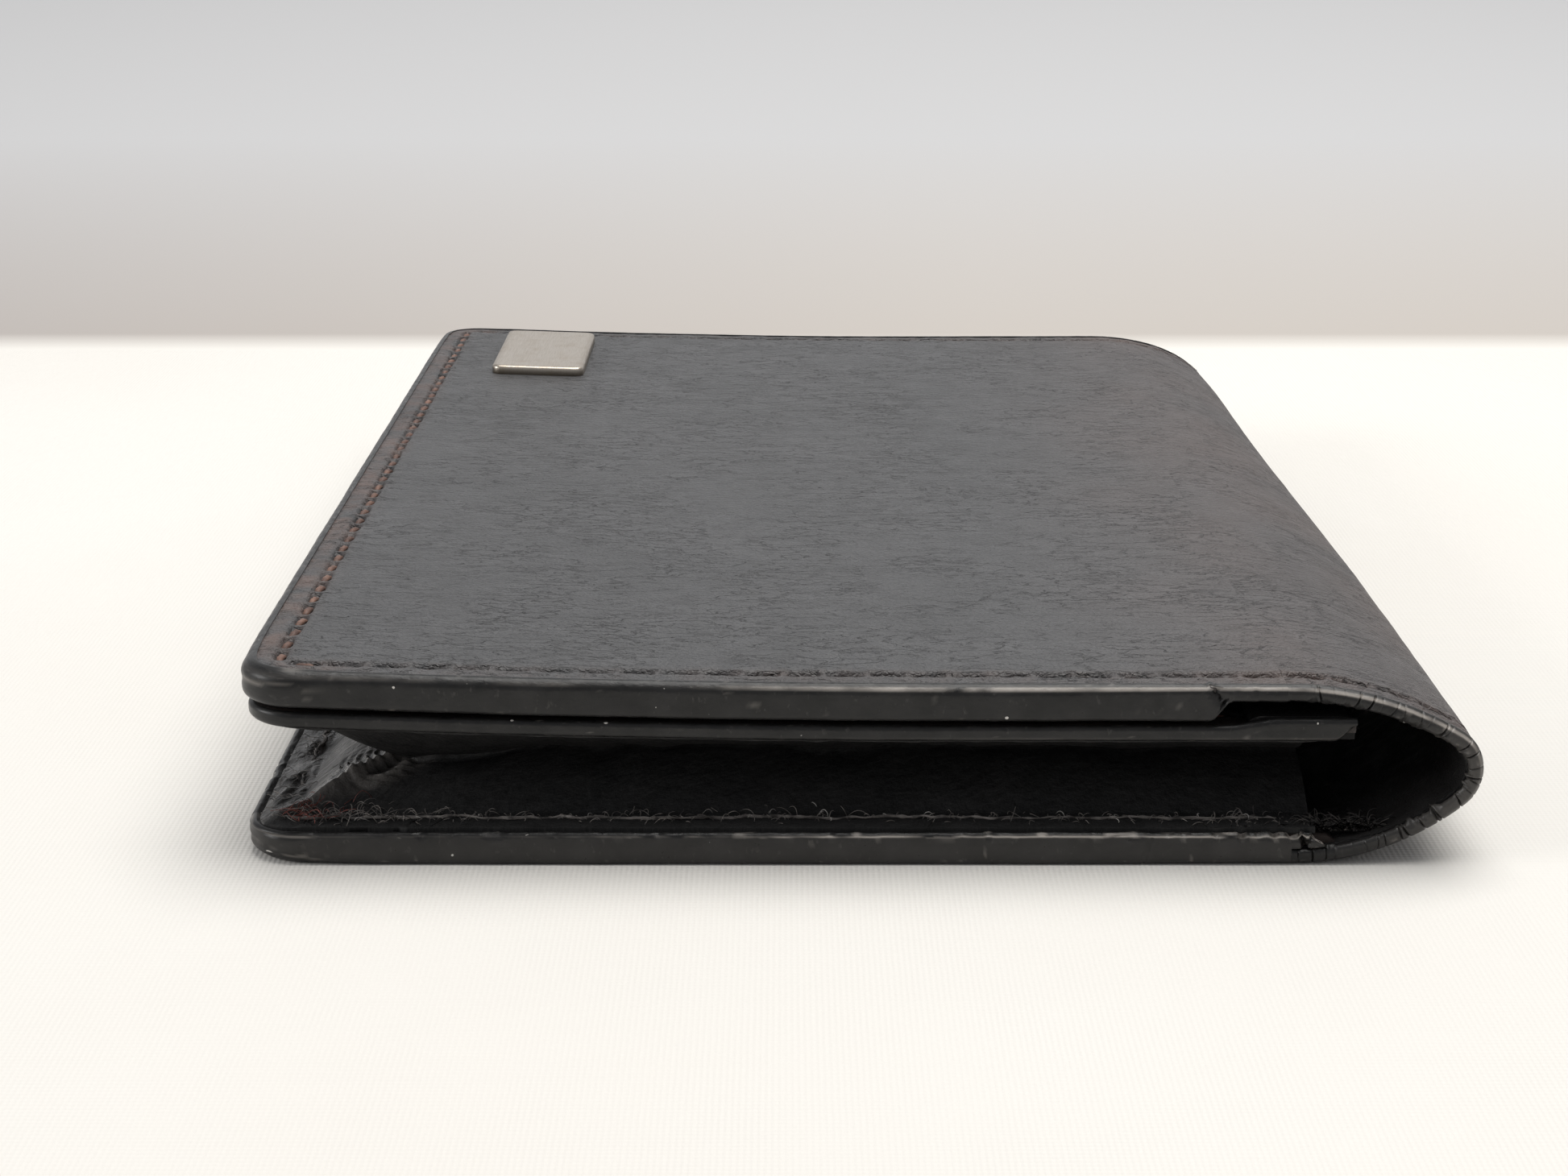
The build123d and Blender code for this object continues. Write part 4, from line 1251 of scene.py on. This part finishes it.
class GussetSheet:
    """The gusset as a grid: rows follow the three sides, and columns follow the section."""

    def __init__(self):
        self.section = gusset_section()
        self.wide, self.share = self.section.T
        self.u, self.v, mitre = gusset_path(self.wide)
        fold = np.argmax(self.wide)
        self.run = travelled(stack(self.u[:, fold], self.v[:, fold]))[:, None]
        self.past = np.minimum(self.run, self.run[-1] - self.run) - self.run[mitre]
        # the end side is folded over the near side, past the mitre
        self.folded_over = self.past + 2.6 * smooth(3.2, 6.2, self.wide)
        self.end_side = smooth(-0.2, 0.6, self.folded_over)
        self.lower = smooth(0.53, 0.47, self.share)
        self.ceiling = flap_point(self.u, self.v, front_bottom)[..., 2] - gusset
        self.at = stack(self.run, self.wide * 0.35, self.share * 3)
        self.folds = 0.16 * self.noise((1.3, 1.0, 1.0), 261) + 0.09 * self.noise((0.55, 0.8, 0.8), 262)
        self.loop = gusset_loop(self.u, half_length - np.abs(self.v))

    def noise(self, size, seed):
        return noise(self.at, size, seed)

    def gaps(self):
        """Dips in the flange, between the stitches at the corners."""
        off = np.abs(self.v)
        dips = bump(off, 46.3, 1.7) ** 2 + bump(off, 40.2, 1.1) ** 2 + 0.8 * bump(off, 34.6, 1.2) ** 2
        return 0.36 * np.clip(dips * 1.6, 0, 1) * np.exp(-(((self.wide - 2.3) / 0.42) ** 4)) * self.end_side

    def lift(self):
        """How far crumples, creases and the rolled lip stand off the plain folded sheet."""
        wide = self.wide
        inner_part = smooth(3.0, 4.6, wide) * smooth(8.3, 7.6, wide)
        crumples = self.folds + 0.20 * self.noise((9.0, 2.0, 2.0), 263)
        rough = np.abs(0.05 * self.noise((0.5, 0.25, 1.0), 264) + 0.05 * self.noise((1.8, 0.6, 1.0), 265))
        ribs = 0.12 * np.clip(self.noise((0.8, 0.16, 1.0), 268), 0, 1) * smooth(0.8, 1.6, wide)
        flange = smooth(3.2, 2.6, wide) * (rough + self.end_side * ribs)
        corner = gusset_corner_relief(self.past, wide) + 0.42 * self.loop
        corner += gusset_pleats(self.folded_over, wide)
        return inner_part * crumples * 0.6 + flange * 1.4 + (corner - self.gaps()) * self.lower

    def height(self):
        """z of the outer face. It sags round the fold's free corners."""
        from_tip = np.hypot(self.u - 8.4, half_length - 9.0 - np.abs(self.v))
        sag = 1.3 * bump(from_tip, 0, 6.5) * np.clip((self.wide - 2.6) / 5.6, 0, 1)
        wave = 0.30 * self.noise((1.8, 3.0, 3.0), 269) * smooth(5.6, 7.6, self.wide)
        toward = np.where(self.share < 0.5, 1.0, -1.0)
        return flange_top + self.share * (self.ceiling - flange_top) + toward * self.lift() - sag + wave

    def inner(self, z_outer):
        """The inner face: the outer one moved by the thickness, square to the section."""
        tangent = np.gradient(self.section * (1.0, float(np.mean(self.ceiling)) - flange_top), axis=0)
        tangent /= np.linalg.norm(tangent, axis=1)[:, None]
        u, v, _ = gusset_path(self.wide + gusset * tangent[:, 1])
        z = z_outer - gusset * tangent[:, 0]
        z = np.where(self.share < 0.02, np.maximum(z, back - 0.02), z)
        return stack(free_edge + u, v, np.minimum(z, self.ceiling + gusset))

    def wear_and_light(self):
        """Painted light: the end side, lit from the left, is greyer than the shaded near side, and the ridge
        and the lip get painted highlights.
        """
        tone = 0.42 + 0.12 * self.noise((0.8, 0.6, 1), 266) + 1.2 * np.clip(self.folds, -0.1, 0.1)
        ridge = 0.55 * bump(self.past, 0.1, 0.5) * smooth(1.0, 3.0, self.wide)
        return np.clip(self.lower * (self.end_side * tone + ridge + 0.5 * self.loop), 0, 1).ravel()


def build_gusset():
    sheet = GussetSheet()
    z = sheet.height()
    outer = stack(free_edge + sheet.u, sheet.v, z)
    rest = stack(sheet.run, sheet.wide, z).reshape(-1, 3)
    wear_and_light = sheet.wear_and_light()
    start, end = flange_top + 0.05, float(np.min(sheet.ceiling) - 0.35)
    blend = ("back", "pocket_front", (0.0, 0.0, start * MM), (0.0, 0.0, end * MM))
    nodes = ["gusset_lower_leaf", "gusset_upper_leaf"]
    rest, wear_and_light = np.concatenate([rest, rest]), np.concatenate([wear_and_light, wear_and_light])
    make("gusset", slab(outer, sheet.inner(z)), gusset_skin, None, blend, nodes, rest, wear_and_light, sharp=80)


build_gusset()


# ---- inner threads of the pocket's seams, with lint
def fibre(rng, run, inset, depth, length):
    """A loose curled fibre, as rings of (run, inset, depth)."""
    count, radius, rise = 9, 0.022, 0.5
    heading = rng.uniform(0, 2 * np.pi)
    curl = rng.uniform(-2.6, 2.6)
    t = np.linspace(0, 1, count)
    angle = heading + curl * t
    x = run + np.cumsum(np.cos(angle)) * length / count
    y = inset + np.cumsum(np.sin(angle)) * length / count
    lift = rise * length * np.sin(np.pi * t * rng.uniform(0.5, 1.0)) * rng.uniform(0.3, 1.0)
    theta = np.linspace(0, 2 * np.pi, 6)[:-1]
    thin = radius * np.sqrt(np.clip(1 - (2 * t - 1) ** 6, 0.05, 1))[:, None]
    across = thin * np.cos(theta)
    x = x[:, None] - np.sin(angle)[:, None] * across
    y = y[:, None] + np.cos(angle)[:, None] * across
    return stack(x, y, depth + lift[:, None] + thin * np.sin(theta))


def lint(seed, count, start, end, depth, inset, spread, length):
    """Loose fibres scattered along a seam. length is their shortest and longest."""
    rng = np.random.default_rng(seed)
    rows = []
    for _ in range(count):
        run = rng.uniform(start, end)
        rings = fibre(rng, run, inset + rng.normal(0, spread), depth, rng.uniform(*length))
        rings[..., 1] = np.maximum(rings[..., 1], 0.95)
        rows.append(rings)
    return rows


def laid_thread(length, depth, seed, radius=0.095):
    """A thin pulled thread that wanders along a seam, as rings of (run, inset, depth)."""
    run = np.arange(0.6, length - 0.6, 0.16)
    wander = 0.20 * line_noise(run, 2.2, seed) + 0.15 * line_noise(run, 0.6, seed + 1)
    rise = 0.07 * line_noise(run, 1.1, seed + 2)
    theta = np.linspace(0, 2 * np.pi, 8)[:-1]
    thick = radius * (1 + 0.45 * line_noise(run, 0.35, seed + 3))[:, None]
    inset = stitch_inset + wander[:, None] + thick * np.cos(theta)
    return stack(run[:, None], inset, depth + rise[:, None] + thick * np.sin(theta))


def tongue_place(run, inset, depth):
    """Like the near side of the back's seam, but with the run measured from the end of the pocket's back."""
    return back_point(tongue_width - run, inset - half_length, depth)


seam = back_outline.length
back_seam = leaf_place(back_outline, back_point)
front_seam = leaf_place(front_outline, flap_point)

rows = [laid_thread(seam, flange_top + 0.10, 271)]
rows += lint(272, 900, 0.0, seam, flange_top + 0.05, stitch_inset, 0.35, (0.25, 0.9))
rows += lint(276, 160, 0.0, seam, flange_top, stitch_inset, 0.6, (0.9, 1.8))
rows += lint(273, 170, 52.0, 68.0, flange_top, 2.3, 0.8, (0.5, 2.0))
rows += lint(274, 50, 0.0, 5.0, flange_top - 0.2, 1.7, 0.4, (0.4, 1.3))
nodes = ["back_bobbin_thread"]
# A little painted shade at the ends of the threads.
thread_piece("back_bobbin_stitches", rows, back_seam, bobbin_thread, "back", nodes=nodes, shade=0.1)

rows = lint(277, 46, 57.5, 62.5, flange_top + 0.1, 2.8, 0.55, (0.8, 2.2))
look = thread_look("frayed thread", (0.10, 0.022, 0.016), (0.20, 0.05, 0.036))
thread_piece("corner_frayed_thread", rows, back_seam, look, "back", shade=0.0)

rows = lint(283, 260, -2.4, 1.4, back + 0.1, 1.3, 0.3, (0.5, 1.9))
look = thread_look("torn fibres", (0.012, 0.011, 0.011), (0.075, 0.068, 0.063))
thread_piece("torn_fibres", rows, tongue_place, look, "back", shade=0.0)

rows = lint(281, 16, 2.0, 62.0, flange_top + 0.15, 2.4, 0.5, (0.35, 0.8))
rows += lint(282, 14, 2.0, seam, flange_top + 0.5, 5.0, 1.5, (0.25, 0.6))
look = thread_look("lint", (0.25, 0.24, 0.225), (0.5, 0.48, 0.455))
thread_piece("pale_lint", rows, back_seam, look, "back", shade=0.0)

depth = front_bottom + gusset + 0.07
rows = stitch_row(2.5, front_outline.length - 2.5, front_outline.pitch, 275, depth, 1, 0.15, 0.1, 0.9, 0.16)
nodes = ["pocket_bobbin_thread"]
# Painted shade towards the ends of the stitches.
thread_piece(
    "pocket_front_bobbin_stitches", rows, front_seam, bobbin_thread, "pocket_front", nodes=nodes, shade=0.3
)


# ---- badge
def rounded_rectangle(half_x, half_y, radius):
    """Points round a rectangle with rounded corners."""
    arcs = []
    for quarter, (sign_x, sign_y) in enumerate(((1, 1), (-1, 1), (-1, -1), (1, -1))):
        angle = np.linspace(0, math.pi / 2, 7) + quarter * math.pi / 2
        centre = np.array([sign_x * (half_x - radius), sign_y * (half_y - radius)])
        arcs.append(centre + radius * stack(np.cos(angle), np.sin(angle)))
    t = np.linspace(0, 1, 26)[1:-1, None]
    sides = [arc[-1] + (after[0] - arc[-1]) * t for arc, after in zip(arcs, arcs[1:] + arcs[:1])]
    return np.concatenate([part for pair in zip(arcs, sides) for part in pair])


def build_badge():
    """A plain plate with rounded corners and edges, slightly crowned."""
    low, high = (np.array(c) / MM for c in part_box("badge_plate"))
    centre, half = (low + high) / 2, (high - low) / 2
    profile = [(1.2, 0.12), (0.35, 0.12), (0.06, 0.08), (0.0, 0.0), (0.0, -0.5), (0.03, -0.62), (0.1, -0.72)]
    profile += [(0.2, -0.78), (0.34, -0.8), (0.6, -0.805), (1.2, -0.815), (2.0, -0.825), (3.0, -0.83)]
    profile += [(3.6, -0.83)]
    rings = []
    for inset, depth in profile:
        ring = centre[:2] + rounded_rectangle(half[0] - inset, half[1] - inset, max(0.9 - inset, 0.12))
        dent = 0.012 * noise(ring, 1.4, 281) * (inset > 0.3) * (depth < 0)
        rings.append(flap_point(ring[:, 0] - free_edge, ring[:, 1], depth + dent))
    inset, depth = np.repeat(np.array(profile).T, len(ring), axis=1)
    wear_and_light = 0.65 * smooth(-0.45, 0.0, depth) + 0.25 * bump(inset, 0.25, 0.2) * (depth < -0.6)
    make("badge", tube(np.array(rings)), badge_metal, "flap", nodes=["badge_plate"], wear_and_light=wear_and_light)


build_badge()

# ---- CAD nodes that stay
kept = {
    "back_stiffener": board,
    "flap_stiffener": board,
    "slot_panel_lining": inner_skin[0],
    "pocket_front_lining": pocket_skin[0],
    "badge_backing": backing_metal,
}
for name, material in kept.items():
    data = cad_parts[name].data
    data.materials.clear()
    data.materials.append(material)


# ---- stage, lights and camera
stage_half = 1400.0


def sweep_stage(name, y, z, material):
    """A strip of the stage, as wide as the stage along x."""
    grid = stack(np.linspace(-stage_half, stage_half, 61), y[:, None], z[:, None])
    data = bpy.data.meshes.new(name)
    ids = np.arange(grid[..., 0].size).reshape(grid.shape[:2])
    data.from_pydata((grid.reshape(-1, 3) * MM).tolist(), [], quads(ids))
    data.shade_smooth()
    add_attribute(data, "rest", "FLOAT_VECTOR", "vector", grid)
    data.materials.append(material)
    stage = bpy.data.objects.new(name, data)
    bpy.context.scene.collection.objects.link(stage)


floor_y = np.linspace(-stage_half, floor_end, 60)
sweep_stage("floor", floor_y, 0 * floor_y, cloth_material())
ramp = np.linspace(0.0, stage_half, 120)
sweep_stage("backdrop", floor_end + ramp, 0.10 * ramp * smooth(0.0, 40.0, ramp), backdrop_material())


def softbox(name, location, target, size, power, colour=(1, 1, 1)):
    light = bpy.data.lights.new(name, "AREA")
    light.shape = "RECTANGLE"
    light.size, light.size_y = size[0] * MM, size[1] * MM
    light.energy = power
    light.color = colour
    lamp = bpy.data.objects.new(name, light)
    lamp.location = Vector(location) * MM
    lamp.rotation_euler = (Vector(target) - Vector(location)).to_track_quat("-Z", "Y").to_euler()
    bpy.context.scene.collection.objects.link(lamp)


softbox("overhead", (100, 50, 530), (0, 0, 0), (560, 460), 3.75, (1.0, 0.985, 0.96))
softbox("behind", (0, 470, 190), (0, 0, 10), (900, 260), 0.34)
softbox("left_fill", (-756, -198, 270), (-20, -40, 4), (360, 288), 2.43, (1.0, 0.99, 0.98))

world = bpy.data.worlds.new("studio")
world.use_nodes = True
background = world.node_tree.nodes["Background"].inputs
background["Color"].default_value = (0.95, 0.965, 1.0, 1)
background["Strength"].default_value = 0.34
bpy.context.scene.world = world
bpy.context.scene.view_settings.view_transform = "Standard"

camera_pitch = 16.1
camera_data = bpy.data.cameras.new("camera")
camera_data.lens = 63.9
camera_data.sensor_width = 36.0
camera_data.clip_start = 0.005
camera_data.clip_end = 20.0
camera = bpy.data.objects.new("camera", camera_data)
camera.location = Vector((-4.64, -212.5, 63.0)) * MM
camera.rotation_euler = (math.radians(90 - camera_pitch), 0, 0)
bpy.context.scene.collection.objects.link(camera)
bpy.context.scene.camera = camera
